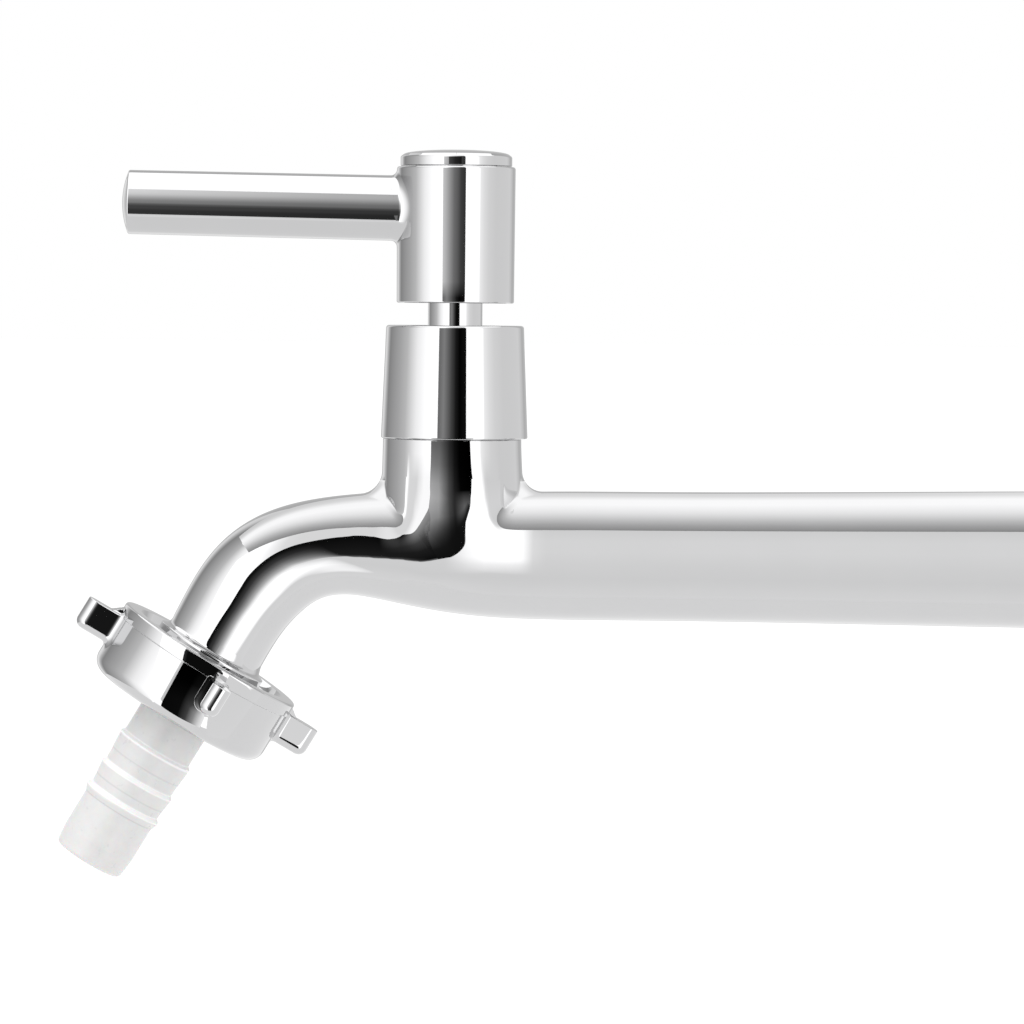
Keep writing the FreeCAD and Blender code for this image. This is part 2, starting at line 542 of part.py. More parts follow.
PARTS["union_nut"] = on_outlet(one(nut))

washer = ring(SPOUT_BORE_R + 0.5, TAIL_FLANGE_R, COLLAR_END_T, COLLAR_END_T + WASHER_T)
washer.translate(V(TAIL_OFFSET, 0, 0))
PARTS["union_washer"] = on_outlet(washer)

# hose tail: flange, neck, three barbs and a long lead-in end, bored through
f0 = COLLAR_END_T + WASHER_T
tail = lathe([(TAIL_BORE_R, f0), (TAIL_FLANGE_R, f0), (TAIL_FLANGE_R, NUT_SEAT_T), (6.33, NUT_SEAT_T),
              (6.28, 18.90), (6.40, 19.35), (6.80, 19.75), (6.80, 20.0), (6.62, 21.6), (6.50, 23.1), (6.40, 25.2),
              (6.84, 25.75), (6.84, 26.0), (6.55, 28.2), (6.38, 29.75), (6.98, 30.35), (6.98, 30.75),
              (TAIL_END_R + 0.05, 31.7), (TAIL_END_R, 32.2), (TAIL_END_R, 38.2), (6.14, 41.9, 0.9), (TAIL_BORE_R, 41.9, 0.3)])
tail.translate(V(TAIL_OFFSET, 0, 0))
PARTS["hose_tail"] = on_outlet(tail)

# -------------------------------------------------------------------- export
for name, shape in PARTS.items():
    s = shape.copy()
    s.translate(V(-STEM_TO_WALL, 0, 0))
    if not s.isValid():
        print("  invalid:", name)
    s.exportStep("parts/%s.step" % name)
    bb = s.BoundBox
    print("%-22s solids %d faces %3d vol %9.1f  x %.1f..%.1f y %.1f..%.1f z %.1f..%.1f" % (
        name, len(s.Solids), len(s.Faces), s.Volume, bb.XMin, bb.XMax, bb.YMin, bb.YMax, bb.ZMin, bb.ZMax))
print("thread end", round(thread_end, 3))
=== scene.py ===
import bpy
import math
import numpy as np
from mathutils import Vector, Matrix, Quaternion


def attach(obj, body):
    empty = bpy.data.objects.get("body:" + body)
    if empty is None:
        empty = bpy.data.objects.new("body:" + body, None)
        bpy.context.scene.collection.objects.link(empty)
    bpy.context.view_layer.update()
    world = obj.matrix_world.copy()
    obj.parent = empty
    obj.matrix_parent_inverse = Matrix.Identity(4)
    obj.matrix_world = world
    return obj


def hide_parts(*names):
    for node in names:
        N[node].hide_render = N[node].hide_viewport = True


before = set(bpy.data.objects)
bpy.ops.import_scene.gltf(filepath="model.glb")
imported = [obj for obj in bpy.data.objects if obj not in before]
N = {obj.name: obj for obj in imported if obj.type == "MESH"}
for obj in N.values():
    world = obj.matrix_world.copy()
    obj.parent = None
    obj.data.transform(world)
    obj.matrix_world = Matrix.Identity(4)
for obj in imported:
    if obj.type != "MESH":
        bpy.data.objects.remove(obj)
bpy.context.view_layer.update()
SC = bpy.context.scene
MM = 0.001

# Shapes are drawn in millimetres about the stem axis (u = x + 112) and moved to
# the row frame, in metres, when their mesh is made.
STEM = Matrix.Translation((-112.0, 0, 0))
WALL = Matrix(((0, 0, 1, 0), (0, 1, 0, 0), (-1, 0, 0, 0), (0, 0, 0, 1)))      # local Z along +X, from the wall
SA, CA = math.sin(math.radians(31.3)), math.cos(math.radians(31.3))
OUT_U, OUT_W = -41.00, -16.75
OUTLET = Matrix(((CA, 0, -SA, OUT_U), (0, -1, 0, 0), (-SA, 0, -CA, OUT_W), (0, 0, 0, 1)))
PITCH = 1.814
TAIL_OFFSET = 0.6

# ------------------------------------------------------------- mesh helpers


def np_mat(m):
    return np.array(m, float)


def put(v, m):
    m = np_mat(m)
    return v @ m[:3, :3].T + m[:3, 3]


def put_n(n, m):
    return n @ np_mat(m)[:3, :3].T


def unit(v):
    return v / np.maximum(np.linalg.norm(v, axis=-1, keepdims=True), 1e-12)


class Shape:
    """Gathers vertices, faces and corner normals (nan where Blender works them out)."""

    def __init__(self):
        self.v, self.f, self.n, self.count = [], [], [], 0

    def add(self, verts, faces, normals=None, m=None, flip=False):
        """faces: lists of vertex indices; normals: one (len(face), 3) array a face, or None."""
        verts = np.asarray(verts, float)
        if m is not None:
            verts = put(verts, m)
        if isinstance(faces, np.ndarray):
            if normals is None:
                normals = np.full(faces.shape + (3,), np.nan)
            elif m is not None:
                normals = put_n(normals, m)
            if flip:
                faces, normals = faces[:, ::-1], normals[:, ::-1]
            self.f.append(faces + self.count)
            self.n.append(normals)
        else:
            for k, face in enumerate(faces):
                face = np.asarray(face)[None]
                nn = np.full(face.shape + (3,), np.nan)
                if flip:
                    face = face[:, ::-1]
                self.f.append(face + self.count)
                self.n.append(nn)
        self.v.append(verts)
        self.count += len(verts)

    def make(self, name, sharp=32.0):
        v = np.concatenate(self.v) * MM
        loops = np.concatenate([f.reshape(-1) for f in self.f])
        sizes = np.concatenate([np.full(len(f), f.shape[1]) for f in self.f])
        starts = np.concatenate([[0], np.cumsum(sizes)[:-1]])
        want = np.concatenate([n.reshape(-1, 3) for n in self.n])
        me = bpy.data.meshes.new(name)
        me.vertices.add(len(v))
        me.vertices.foreach_set("co", v.astype(np.float32).reshape(-1))
        me.loops.add(len(loops))
        me.loops.foreach_set("vertex_index", loops.astype(np.int32))
        me.polygons.add(len(sizes))
        me.polygons.foreach_set("loop_start", starts.astype(np.int32))
        me.update(calc_edges=True)
        me.polygons.foreach_set("use_smooth", np.ones(len(sizes), bool))
        me.set_sharp_from_angle(angle=math.radians(sharp))
        got = np.zeros(len(loops) * 3, np.float32)
        me.corner_normals.foreach_get("vector", got)
        got = got.reshape(-1, 3)
        bad = np.isnan(want[:, 0])
        want[bad] = got[bad]
        me.normals_split_custom_set(unit(want).tolist())
        me.update()
        ob = bpy.data.objects.new(name, me)
        SC.collection.objects.link(ob)
        return ob


def rounded(pts, closed=True, step=7.5):
    """Corner points (r, z[, radius]) to dense points with the outline's normals.
    Counter-clockwise in (r, z) has the material on the left.
    Returns points and, at each, the normal of the run before it and of the run after."""
    n = len(pts)
    P = [np.array(p[:2], float) for p in pts]
    R = [p[2] if len(p) > 2 else 0.0 for p in pts]
    pos, nin, nout = [], [], []

    def nrm(d):
        d = d / max(np.linalg.norm(d), 1e-12)
        return np.array([d[1], -d[0]])

    for i in range(n):
        if not closed and i in (0, n - 1):
            d = P[1] - P[0] if i == 0 else P[n - 1] - P[n - 2]
            pos.append(P[i]); nin.append(nrm(d)); nout.append(nrm(d))
            continue
        p0, p1, p2 = P[i - 1], P[i], P[(i + 1) % n]
        n0, n1 = nrm(p1 - p0), nrm(p2 - p1)
        if R[i] <= 0:
            if np.dot(n0, n1) > math.cos(math.radians(14)):
                m = (n0 + n1) / np.linalg.norm(n0 + n1)
                n0 = n1 = m
            pos.append(p1); nin.append(n0); nout.append(n1)
            continue
        a, b = (p0 - p1) / np.linalg.norm(p0 - p1), (p2 - p1) / np.linalg.norm(p2 - p1)
        phi = math.acos(max(-1.0, min(1.0, float(np.dot(a, b)))))
        d = R[i] / math.tan(phi / 2)
        bis = (a + b) / np.linalg.norm(a + b)
        c = p1 + bis * (R[i] / math.sin(phi / 2))
        turn = math.pi - phi
        k = max(2, int(math.ceil(math.degrees(turn) / step)))
        convex = (n0[0] * n1[1] - n0[1] * n1[0]) > 0
        e0, e1 = p1 + a * d - c, p1 + b * d - c
        a0, a1 = math.atan2(e0[1], e0[0]), math.atan2(e1[1], e1[0])
        da = (a1 - a0 + math.pi) % (2 * math.pi) - math.pi
        for j in range(k + 1):
            ang = a0 + da * j / k
            dirv = np.array([math.cos(ang), math.sin(ang)])
            nn = dirv if convex else -dirv
            pos.append(c + R[i] * dirv); nin.append(nn); nout.append(nn)
    return np.array(pos), np.array(nin), np.array(nout)


def lathe(shape, pts, m, seg=160, closed=True, step=7.5, wobble=None):
    """Adds a turned shape: corner points (r, z[, radius]), counter-clockwise, about local Z."""
    P, NI, NO = rounded(pts, closed, step)
    rings = len(P)
    th = np.arange(seg) * 2 * math.pi / seg
    c, s = np.cos(th), np.sin(th)
    ids = np.zeros((rings, seg), int)
    verts = []
    for i, (r, z) in enumerate(P):
        if r < 1e-6:
            ids[i] = len(verts)
            verts.append([0, 0, z])
        else:
            ids[i] = len(verts) + np.arange(seg)
            verts.extend(np.stack([r * c, r * s, np.full(seg, z)], 1).tolist())
    verts = np.array(verts)
    last = rings if closed else rings - 1
    quads, qn, tris, tn = [], [], [], []
    j0, j1 = np.arange(seg), (np.arange(seg) + 1) % seg

    def n3(n, j):
        return np.stack([n[0] * c[j], n[0] * s[j], np.full(len(j), n[1])], 1)

    for i in range(last):
        k = (i + 1) % rings
        if P[i][0] < 1e-6 and P[k][0] < 1e-6:
            continue
        if P[i][0] < 1e-6:
            tris.append(np.stack([ids[i][j0], ids[k][j1], ids[k][j0]], 1))
            tn.append(np.stack([n3(NO[i], j0), n3(NI[k], j1), n3(NI[k], j0)], 1))
        elif P[k][0] < 1e-6:
            tris.append(np.stack([ids[i][j0], ids[i][j1], ids[k][j0]], 1))
            tn.append(np.stack([n3(NO[i], j0), n3(NO[i], j1), n3(NI[k], j0)], 1))
        else:
            quads.append(np.stack([ids[i][j0], ids[i][j1], ids[k][j1], ids[k][j0]], 1))
            qn.append(np.stack([n3(NO[i], j0), n3(NO[i], j1), n3(NI[k], j1), n3(NI[k], j0)], 1))
    base = shape.count
    shape.add(verts, np.concatenate(quads), np.concatenate(qn), m)
    if tris:
        shape.add(np.zeros((0, 3)), np.concatenate(tris) + base - shape.count, np.concatenate(tn), m)


def smooth(a, b, x):
    t = np.clip((x - a) / (b - a), 0, 1)
    return t * t * (3 - 2 * t)


def surface_nets(f, lo, hi, h):
    """Quads round the zero set of f on a grid from lo to hi."""
    ax = [np.arange(l, u + h * 0.5, h) for l, u in zip(lo, hi)]
    X, Y, Z = np.meshgrid(*ax, indexing="ij")
    v = f(X, Y, Z)
    shp = v.shape
    cell = tuple(n - 1 for n in shp)
    acc = np.zeros(cell + (3,))
    cnt = np.zeros(cell, int)
    inside = v < 0
    edges = []
    for a in range(3):
        s0 = [slice(None)] * 3; s1 = [slice(None)] * 3
        s0[a] = slice(0, -1); s1[a] = slice(1, None)
        s0, s1 = tuple(s0), tuple(s1)
        cross = inside[s0] != inside[s1]
        idx = np.argwhere(cross)
        v0, v1 = v[s0][cross], v[s1][cross]
        t = v0 / (v0 - v1)
        p = np.stack([ax[k][idx[:, k]] for k in range(3)], 1)
        p[:, a] += t * h
        b, c = (a + 1) % 3, (a + 2) % 3
        for db in (-1, 0):
            for dc in (-1, 0):
                q = idx.copy()
                q[:, b] += db; q[:, c] += dc
                ok = np.all((q >= 0) & (q < np.array(cell)), 1)
                np.add.at(acc, tuple(q[ok].T), p[ok])
                np.add.at(cnt, tuple(q[ok].T), 1)
        edges.append((a, idx, v0 < 0))
    use = cnt > 0
    number = np.full(cell, -1)
    number[use] = np.arange(use.sum())
    verts = acc[use] / cnt[use][:, None]
    faces = []
    for a, idx, neg in edges:
        b, c = (a + 1) % 3, (a + 2) % 3
        ring = []
        for db, dc in ((-1, -1), (0, -1), (0, 0), (-1, 0)):
            q = idx.copy()
            q[:, b] += db; q[:, c] += dc
            ring.append(q)
        ok = np.ones(len(idx), bool)
        for q in ring:
            ok &= np.all((q >= 0) & (q < np.array(cell)), 1)
        quad = np.stack([number[tuple(q[ok].T)] for q in ring], 1)
        neg = neg[ok]
        quad[~neg] = quad[~neg][:, ::-1]
        faces.append(quad)
    return verts, np.concatenate(faces)


def gradient(f, p, e=0.01):
    g = np.zeros_like(p)
    for k in range(3):
        d = np.zeros(3); d[k] = e
        a, b = p + d, p - d
        g[:, k] = (f(a[:, 0], a[:, 1], a[:, 2]) - f(b[:, 0], b[:, 1], b[:, 2])) / (2 * e)
    return g


def settle(f, p, steps=4, e=0.01):
    for _ in range(steps):
        g = gradient(f, p, e)
        v = f(p[:, 0], p[:, 1], p[:, 2])
        p = p - (v / np.maximum((g * g).sum(1), 0.05))[:, None] * g
    return p


def fillet_union(a, b, r):
    u, w = np.maximum(r - a, 0), np.maximum(r - b, 0)
    return np.maximum(r, np.minimum(a, b)) - np.sqrt(u * u + w * w + 1e-12)


def skew_union(a, b, c, r):
    """Union of two surfaces whose normals meet at cosine c, with a rolled fillet of radius r."""
    u, w = r - a, r - b
    inside = (u > c * w) & (w > c * u) & (u > 0) & (w > 0)
    ball = r - np.sqrt(np.maximum(u * u + w * w - 2 * u * w * c, 0) / (1 - c * c))
    return np.where(inside, ball, np.minimum(a, b))


def round_max(a, b, r):
    u, w = np.maximum(r + a, 0), np.maximum(r + b, 0)
    return np.minimum(-r, np.maximum(a, b)) + np.sqrt(u * u + w * w + 1e-12)


class BSpline:
    """Uniform cubic B-spline over control rows."""

    def __init__(self, rows):
        self.c = np.array(rows, float)
        self.n = len(rows) - 3

    def at(self, s, d=0):
        s = np.clip(s, 0, self.n - 1e-6)
        i = s.astype(int)
        t = (s - i)[..., None]
        if d == 0:
            b = [(1 - t) ** 3 / 6, (3 * t ** 3 - 6 * t * t + 4) / 6, (-3 * t ** 3 + 3 * t * t + 3 * t + 1) / 6, t ** 3 / 6]
        elif d == 1:
            b = [-(1 - t) ** 2 / 2, (3 * t * t - 4 * t) / 2, (-3 * t * t + 2 * t + 1) / 2, t * t / 2]
        else:
            b = [1 - t, 3 * t - 2, 1 - 3 * t, t]
        return sum(b[k] * self.c[i + k] for k in range(4))


# ------------------------------------------------------------- body casting
SKIN = [
    (24.00, 0.00, 11.00), (20.60, 0.00, 10.985), (17.50, 0.00, 10.96), (14.41, 0.00, 10.91),
    (11.32, 0.00, 10.84), (8.23, 0.04, 10.75), (5.14, 0.14, 10.64),
    (2.03, 0.31, 10.49), (-1.09, 0.55, 10.31), (-4.23, 0.83, 10.06),
    (-7.39, 1.12, 9.75), (-10.56, 1.38, 9.37), (-13.73, 1.56, 8.97),
    (-16.89, 1.61, 8.61), (-20.01, 1.44, 8.39), (-23.06, 0.98, 8.35),
    (-26.00, 0.16, 8.51), (-28.78, -1.08, 8.77), (-31.34, -2.74, 8.99),
    (-33.62, -4.80, 9.05), (-35.60, -7.20, 8.97), (-37.31, -9.84, 8.83),
    (-38.87, -12.60, 8.71), (-40.33, -15.33, 8.65),
]


def outlet_row(t, r=8.65):
    return (OUT_U - SA * t, OUT_W - CA * t, r)


rows = [outlet_row(t) for t in (13.6, 10.6, 7.6, 4.6, 1.6)] + SKIN[::-1] + \
       [(28.0, 0, 11.005), (33.0, 0, 11.015), (39.0, 0, 11.03), (46.0, 0, 11.07), (54.0, 0, 11.15), (64.0, 0, 11.26),
        (75.0, 0, 11.385), (87.0, 0, 11.54), (99.0, 0, 11.69), (111.0, 0, 11.79), (123.0, 0, 11.86), (135.0, 0, 11.92)]
line = BSpline(rows)
_s = np.linspace(0, line.n - 1e-3, 1400)
_c = line.at(_s)[:, :2]


def nearest(x, z, s=None):
    """Parameter of the nearest centreline point for points in the plane."""
    shp = x.shape
    p = np.stack([x.reshape(-1), z.reshape(-1)], 1)
    if s is None:
        s = np.zeros(len(p))
        for k in range(0, len(p), 20000):
            q = p[k:k + 20000]
            d = (q[:, :1] - _c[:, 0]) ** 2 + (q[:, 1:] - _c[:, 1]) ** 2
            s[k:k + 20000] = _s[d.argmin(1)]
    else:
        s = s.reshape(-1)
    for _ in range(4):
        c, c1, c2 = line.at(s)[:, :2], line.at(s, 1)[:, :2], line.at(s, 2)[:, :2]
        g = ((c - p) * c1).sum(1)
        h = (c1 * c1).sum(1) + ((c - p) * c2).sum(1)
        s = np.clip(s - np.clip(g / np.maximum(h, 0.5), -0.6, 0.6), 0, line.n - 1e-6)
    return s.reshape(shp)


SADDLE_R = 3.4


def skin_d(x, y, z, s):
    c = line.at(s)
    return np.sqrt((x - c[..., 0]) ** 2 + y * y + (z - c[..., 1]) ** 2) - c[..., 2]


def tower_d(x, y, z):
    k = np.clip((z - 0.45) / 19.45, 0, 1)
    ry = 10.40 + 1.5 * (1 - (1 - k) ** 4 * (1 + 4 * k))
    ry = np.where(z < 0.45, np.sqrt(np.maximum(10.40 ** 2 - (z - 0.45) ** 2, 60.0)), ry) - 0.03 * smooth(2.0, 0.0, z)
    ry = ry + (11.9 - ry) * smooth(4.2, 7.4, np.abs(x + 0.35)) * smooth(0.5, 3.5, z)
    rx = 11.85 + 0.15 * smooth(0, 10, 19.9 - z)
    flare = 0.35 * smooth(19.5, 11.0, z)
    rx = rx + 0.5 * flare * smooth(-2.0, 6.0, x)
    q = np.sqrt(((x + 0.35) / rx) ** 2 + (y / ry) ** 2)
    return (q - 1) * 0.5 * (rx + ry)


def body_f(x, y, z, s=None):
    if s is None:
        s = nearest(x, z)
    c = line.at(s)
    dx, dz = x - c[..., 0], z - c[..., 1]
    rad = np.sqrt(dx * dx + y * y + dz * dz)
    a = rad - c[..., 2]
    b = tower_d(x, y, z)
    hx = x + 0.35
    hr = np.sqrt(hx * hx + y * y) + 1e-9
    dot = (dx * hx + y * y) / (np.maximum(rad, 1e-6) * hr)
    dot = np.clip(dot, -0.2, 0.985)
    r = SADDLE_R - 2.3 * smooth(0.02, 0.15, dot) + 14.5 * smooth(0.50, 0.95, dot) ** 1.2
    b = np.maximum(b, -z - 3.4)
    return skew_union(a, b, dot, r)


def grid_body(X, Y, Z):
    s2 = nearest(X[:, 0, :], Z[:, 0, :])
    s = np.repeat(s2[:, None, :], X.shape[1], axis=1)
    return body_f(X, Y, Z, s)


def build_body():
    h = 0.4
    verts, quads = surface_nets(grid_body, (-58.0, -13.6, -36.0), (117.0, 13.6, 24.5), h)
    s = nearest(verts[:, 0], verts[:, 2])
    f = lambda x, y, z: body_f(x, y, z, nearest(x, z, s))
    verts = settle(f, verts, 4)
    import bmesh
    me = bpy.data.meshes.new("tmp_body")
    me.from_pydata(verts.tolist(), [], quads.tolist())
    bm = bmesh.new()
    bm.from_mesh(me)
    bpy.data.meshes.remove(me)
    ends = [  # point, outward normal, kind
        (Vector((111.6, 0, 0)), Vector((1, 0, 0))),
        (Vector((0, 0, 19.7)), Vector((0, 0, 1))),
        (Vector((OUT_U, 0, OUT_W)) + Vector((-SA, 0, -CA)) * -2.0, Vector((-SA, 0, -CA))),
    ]
    for co, no in ends:
        bmesh.ops.bisect_plane(bm, geom=bm.verts[:] + bm.edges[:] + bm.faces[:], plane_co=co, plane_no=no,
                               clear_outer=True, dist=1e-5)
    # slivers left by the cuts
    bmesh.ops.dissolve_degenerate(bm, dist=0.02, edges=bm.edges[:])
    bm.verts.ensure_lookup_table()
    bm.verts.index_update()
    V_ = np.array([v.co[:] for v in bm.verts])
    faces = [[v.index for v in f.verts] for f in bm.faces]
    rim = []
    bound = {v.index for e in bm.edges if e.is_boundary for v in e.verts}
    for co, no in ends:
        rim.append(np.array([i for i in bound if abs((bm.verts[i].co - co).dot(no)) < 0.01]))
    bm.free()
    s = nearest(V_[:, 0], V_[:, 2])
    f = lambda x, y, z: body_f(x, y, z, nearest(x, z, s))
    g = gradient(f, V_, 0.02)
    N_ = unit(g)
    hx, y, z = V_[:, 0], np.abs(V_[:, 1]), V_[:, 2]
    w = smooth(7.6, 9.2, y) * smooth(17.0, 12.0, z) * smooth(-9.0, -5.0, z) * smooth(22.0, 15.0, np.abs(hx))
    a = np.concatenate([np.array(fc) for fc in faces])
    b = np.concatenate([np.roll(np.array(fc), -1) for fc in faces])
    a, b = np.concatenate([a, b]), np.concatenate([b, a])
    deg_ = np.bincount(a, minlength=len(V_))
    for _ in range(26):
        m = np.stack([np.bincount(a, weights=N_[b, k], minlength=len(V_)) for k in range(3)], 1) / np.maximum(deg_, 1)[:, None]
        N_ = unit(N_ + 0.8 * w[:, None] * (m - N_))
    return V_, faces, N_, rim, ends


def end_stack(V_, rim, m, sign=1.0):
    """Rim vertices in order round the local axis of m: their angles."""
    inv = np_mat(m.inverted())
    p = V_[rim] @ inv[:3, :3].T + inv[:3, 3]
    th = np.arctan2(p[:, 1], p[:, 0])
    o = np.argsort(th)
    return rim[o], th[o], p[o]


def thread_r(th, t, r_minor, r_major, pitch, phase, crest, root):
    """Radius of a right-hand thread: flat crest and root joined by straight flanks."""
    k = ((t - phase - pitch * th / (2 * math.pi)) / pitch) % 1.0
    d = np.abs(k - 0.5) * pitch                       # distance from mid crest
    f = np.clip((pitch / 2 - root / 2 - d) / (pitch / 2 - root / 2 - crest / 2), 0, 1)
    return r_minor + (r_major - r_minor) * f


def add_rings(shape, ids, rings, m, flip=False, cap=True):
    """rings: list of (n, 3) arrays in local coordinates, ids the shared first ring's indices in shape."""
    n = len(ids)
    prev = np.array(ids)
    quads = []
    pts = np.concatenate(rings)
    new = shape.count + np.arange(len(pts)).reshape(len(rings), n)
    for k in range(len(rings)):
        cur = new[k]
        a, b = prev, np.roll(prev, -1)
        c, d = np.roll(cur, -1), cur
        quads.append(np.stack([a, b, c, d], 1))
        prev = cur
    q = np.concatenate(quads)
    shape.add(pts, q - shape.count, None, m, flip=False)
    if flip:
        shape.f[-1] = shape.f[-1][:, ::-1]
    if cap:
        centre = rings[-1].mean(0)[None]
        a = prev
        b = np.roll(prev, -1)
        ci = shape.count
        t = np.stack([a, b, np.full(n, ci)], 1)
        if flip:
            t = t[:, ::-1]
        shape.add(centre, t - shape.count, None, m)


def polar(r, th, t):
    r = np.broadcast_to(r, th.shape)
    return np.stack([r * np.cos(th), r * np.sin(th), np.full(len(th), float(t))], 1)


def make_body():
    V_, faces, N_, rims, ends = build_body()
    sh = Shape()
    by = {}
    for f in faces:
        by.setdefault(len(f), []).append(f)
    first = True
    for k, fs in by.items():
        fs = np.array(fs)
        sh.add(V_ if first else np.zeros((0, 3)), fs - (0 if first else sh.count), N_[fs])
        first = False
    sh.v = [put(sh.v[0], STEM)] + sh.v[1:]
    # inlet end: shoulder, relief, G 1/2 thread, bore
    m = STEM @ Matrix(((0, 0, 1, 0), (0, 1, 0, 0), (-1, 0, 0, 0), (0, 0, 0, 1)))
    ids, th, p = end_stack(V_, rims[0], m @ Matrix.Identity(4) if False else STEM.inverted() @ m)
    rings = []
    rr = np.hypot(p[:, 0], p[:, 1])
    for q, t in ((0.02, 111.74), (0.10, 111.88), (0.24, 111.97), (0.42, 112.0)):
        rings.append(polar(rr - q, th, t))
    rings.append(polar(10.62, th, 112.0))
    rings.append(polar(10.478, th, 112.0))
    ts = np.arange(112.0, 126.0 - 0.01, 0.13)
    for t in ts[1:]:
        r = thread_r(th, t - 112.0, 9.42, 10.478, PITCH, 0.0, 0.42, 0.30)
        w = smooth(0.0, 0.9, t - 112.0)
        r = 10.478 * (1 - w) + r * w
        r = np.minimum(r, 9.45 + (126.0 - t) * 1.0)
        rings.append(polar(r, th, t))
    for r, t in ((9.30, 126.0), (7.75, 126.0), (7.55, 125.8), (7.5, 125.5), (7.5, 100.0), (7.5, 60.0), (7.5, 14.0), (6.05, 14.0), (6.0, 10.0)):
        rings.append(polar(r, th, t))
    add_rings(sh, ids, rings, m)
    # tower top: rim, headwork thread bore
    m = STEM
    ids, th, p = end_stack(V_, rims[1], Matrix.Identity(4))
    rr = np.hypot(p[:, 0], p[:, 1])
    rings = [polar(rr - 0.06, th, 19.84), polar(rr - 0.2, th, 19.9)]
    for r, t in ((10.85, 19.9), (10.2, 19.3), (10.2, 16.0), (9.3, 15.3), (9.3, 7.0), (5.0, 6.5), (5.0, 3.0)):
        rings.append(polar(r, th, t))
    add_rings(sh, ids, rings, m)
    # outlet end: flared neck, G 3/4 union thread, mouth and bore
    m = STEM @ OUTLET
    ids, th, p = end_stack(V_, rims[2], OUTLET)
    rr = np.hypot(p[:, 0], p[:, 1])
    rings = []
    P, NI, NO = rounded([(8.65, -2.0), (8.70, -1.35, 0.0), (8.90, -0.35, 1.0), (10.05, 0.1, 0.28), (10.05, 1.75)], closed=False, step=9)
    for r, t in P[1:]:
        w = smooth(-2.0, -0.8, t)
        rings.append(polar(r * w + (rr + (r - 8.65)) * (1 - w), th, t))
    rings.append(polar(10.05, th, 1.75))
    for t in np.arange(1.76, 7.5, 0.10):
        r = thread_r(th, t - 1.75, 12.0, 13.10, PITCH, 0.0, 0.36, 0.19)
        w = smooth(0.0, 0.5, t - 1.75)
        r = 12.0 * (1 - w) + r * w
        rings.append(polar(np.minimum(r, 12.2 + (7.5 - t) * 1.6), th, t))
    for r, t in ((11.9, 7.52), (11.75, 7.6), (6.45, 7.6), (6.25, 7.52), (6.2, 7.3), (6.2, 2.0), (6.2, -1.5)):
        rings.append(polar(r, th, t))
    add_rings(sh, ids, rings, m)
    return sh.make("body_skin")


# ------------------------------------------------------------------ handle
LEVER_Z, LEVER_SLOPE = 58.98, 0.83
LEVER = Matrix.Translation((0, 0, LEVER_Z)) @ Matrix.Rotation(math.radians(-90 + LEVER_SLOPE), 4, "Y")


def make_handle():
    sh = Shape()
    # hub with its socket
    lathe(sh, [(4.7, 43.0, 0.12), (10.02, 43.0, 0.32), (10.13, 66.25, 0.42), (6.9, 66.25, 0.15), (6.9, 58.6),
               (2.2, 58.6), (2.2, 57.6), (3.95, 57.6), (3.95, 46.1), (4.7, 46.1)], STEM, 224)
    # bar lever, from inside the hub to its crowned tip
    L, rt = 55.9, 5.46
    crown_r = (rt ** 2 + 1.1 ** 2) / 2.2
    tip = []
    for k in range(13):
        a = math.asin(min(1.0, (rt - 0.42) / crown_r)) * k / 12.0
        tip.append((crown_r * math.sin(a), L + 1.1 - crown_r + crown_r * math.cos(a)))
    pts = [(0, 6.2), (5.60 - 0.14 * 6.2 / L, 6.2)]
    edge = tip[-1]
    pts += [(rt, L + 0.03, 0.36), (edge[0], edge[1])] + tip[::-1][1:-1] + [(0, L + 1.1)]
    lathe(sh, pts, STEM @ LEVER, 176, step=9)

    # filleted root between hub and bar
    inv = np_mat(LEVER.inverted())

    def bar(x, y, z):
        q = np.stack([x, y, z], -1) @ inv[:3, :3].T + inv[:3, 3]
        return (np.hypot(q[..., 0], q[..., 1]) - (5.60 - 0.14 * q[..., 2] / L)) * 0.99999, q[..., 2]

    def hub(x, y, z):
        return np.hypot(x, y) - (10.02 + 0.11 * (z - 43.0) / 23.25)

    def root(x, y, z, sink=True):
        a, along = bar(x, y, z)
        b = hub(x, y, z)
        if sink:
            b = b - 0.006 + 0.030 * smooth(1.3, 2.8, a)
            a = a - 0.006 + 0.030 * smooth(1.3, 2.8, hub(x, y, z))
        f = fillet_union(a, b, 1.05)
        if sink:
            f = np.maximum(f, 8.6 - np.hypot(x, y))
            f = np.maximum(f, x + 3.0)
            f = np.maximum(f, np.hypot(x, y) - 13.6)
            f = np.maximum(f, np.maximum(np.abs(y) - 8.0, np.abs(z - 59.1) - 6.85))
        return f

    v, q = surface_nets(root, (-14.6, -8.6, 51.6), (-2.0, 8.6, 66.6), 0.2)
    v = settle(root, v, 3)
    n = unit(gradient(lambda x, y, z: root(x, y, z, False), v))
    sh.add(v, q, n[q], STEM)
    ob = sh.make("handle_skin")
    return ob


def make_cap():
    sh = Shape()
    r = 9.53
    dome = [(r - 0.62, 68.42), (8.4, 68.60), (7.8, 68.72), (6.6, 68.88), (5.1, 69.00), (3.6, 69.08), (2.0, 69.125), (0, 69.14)]
    P, NI, NO = None, None, None
    pts = [(0, 64.6), (5.3, 64.6), (5.3, 62.3), (6.80, 62.3), (6.80, 63.3), (6.0, 63.3), (6.0, 64.8), (6.80, 64.8), (6.80, 66.35),
           (r, 66.35, 0.16), (r, 67.95, 0.42), (r - 0.62, 68.42, 0.35)] + dome[1:]
    lathe(sh, pts, STEM, 224)
    return sh.make("cap_skin")


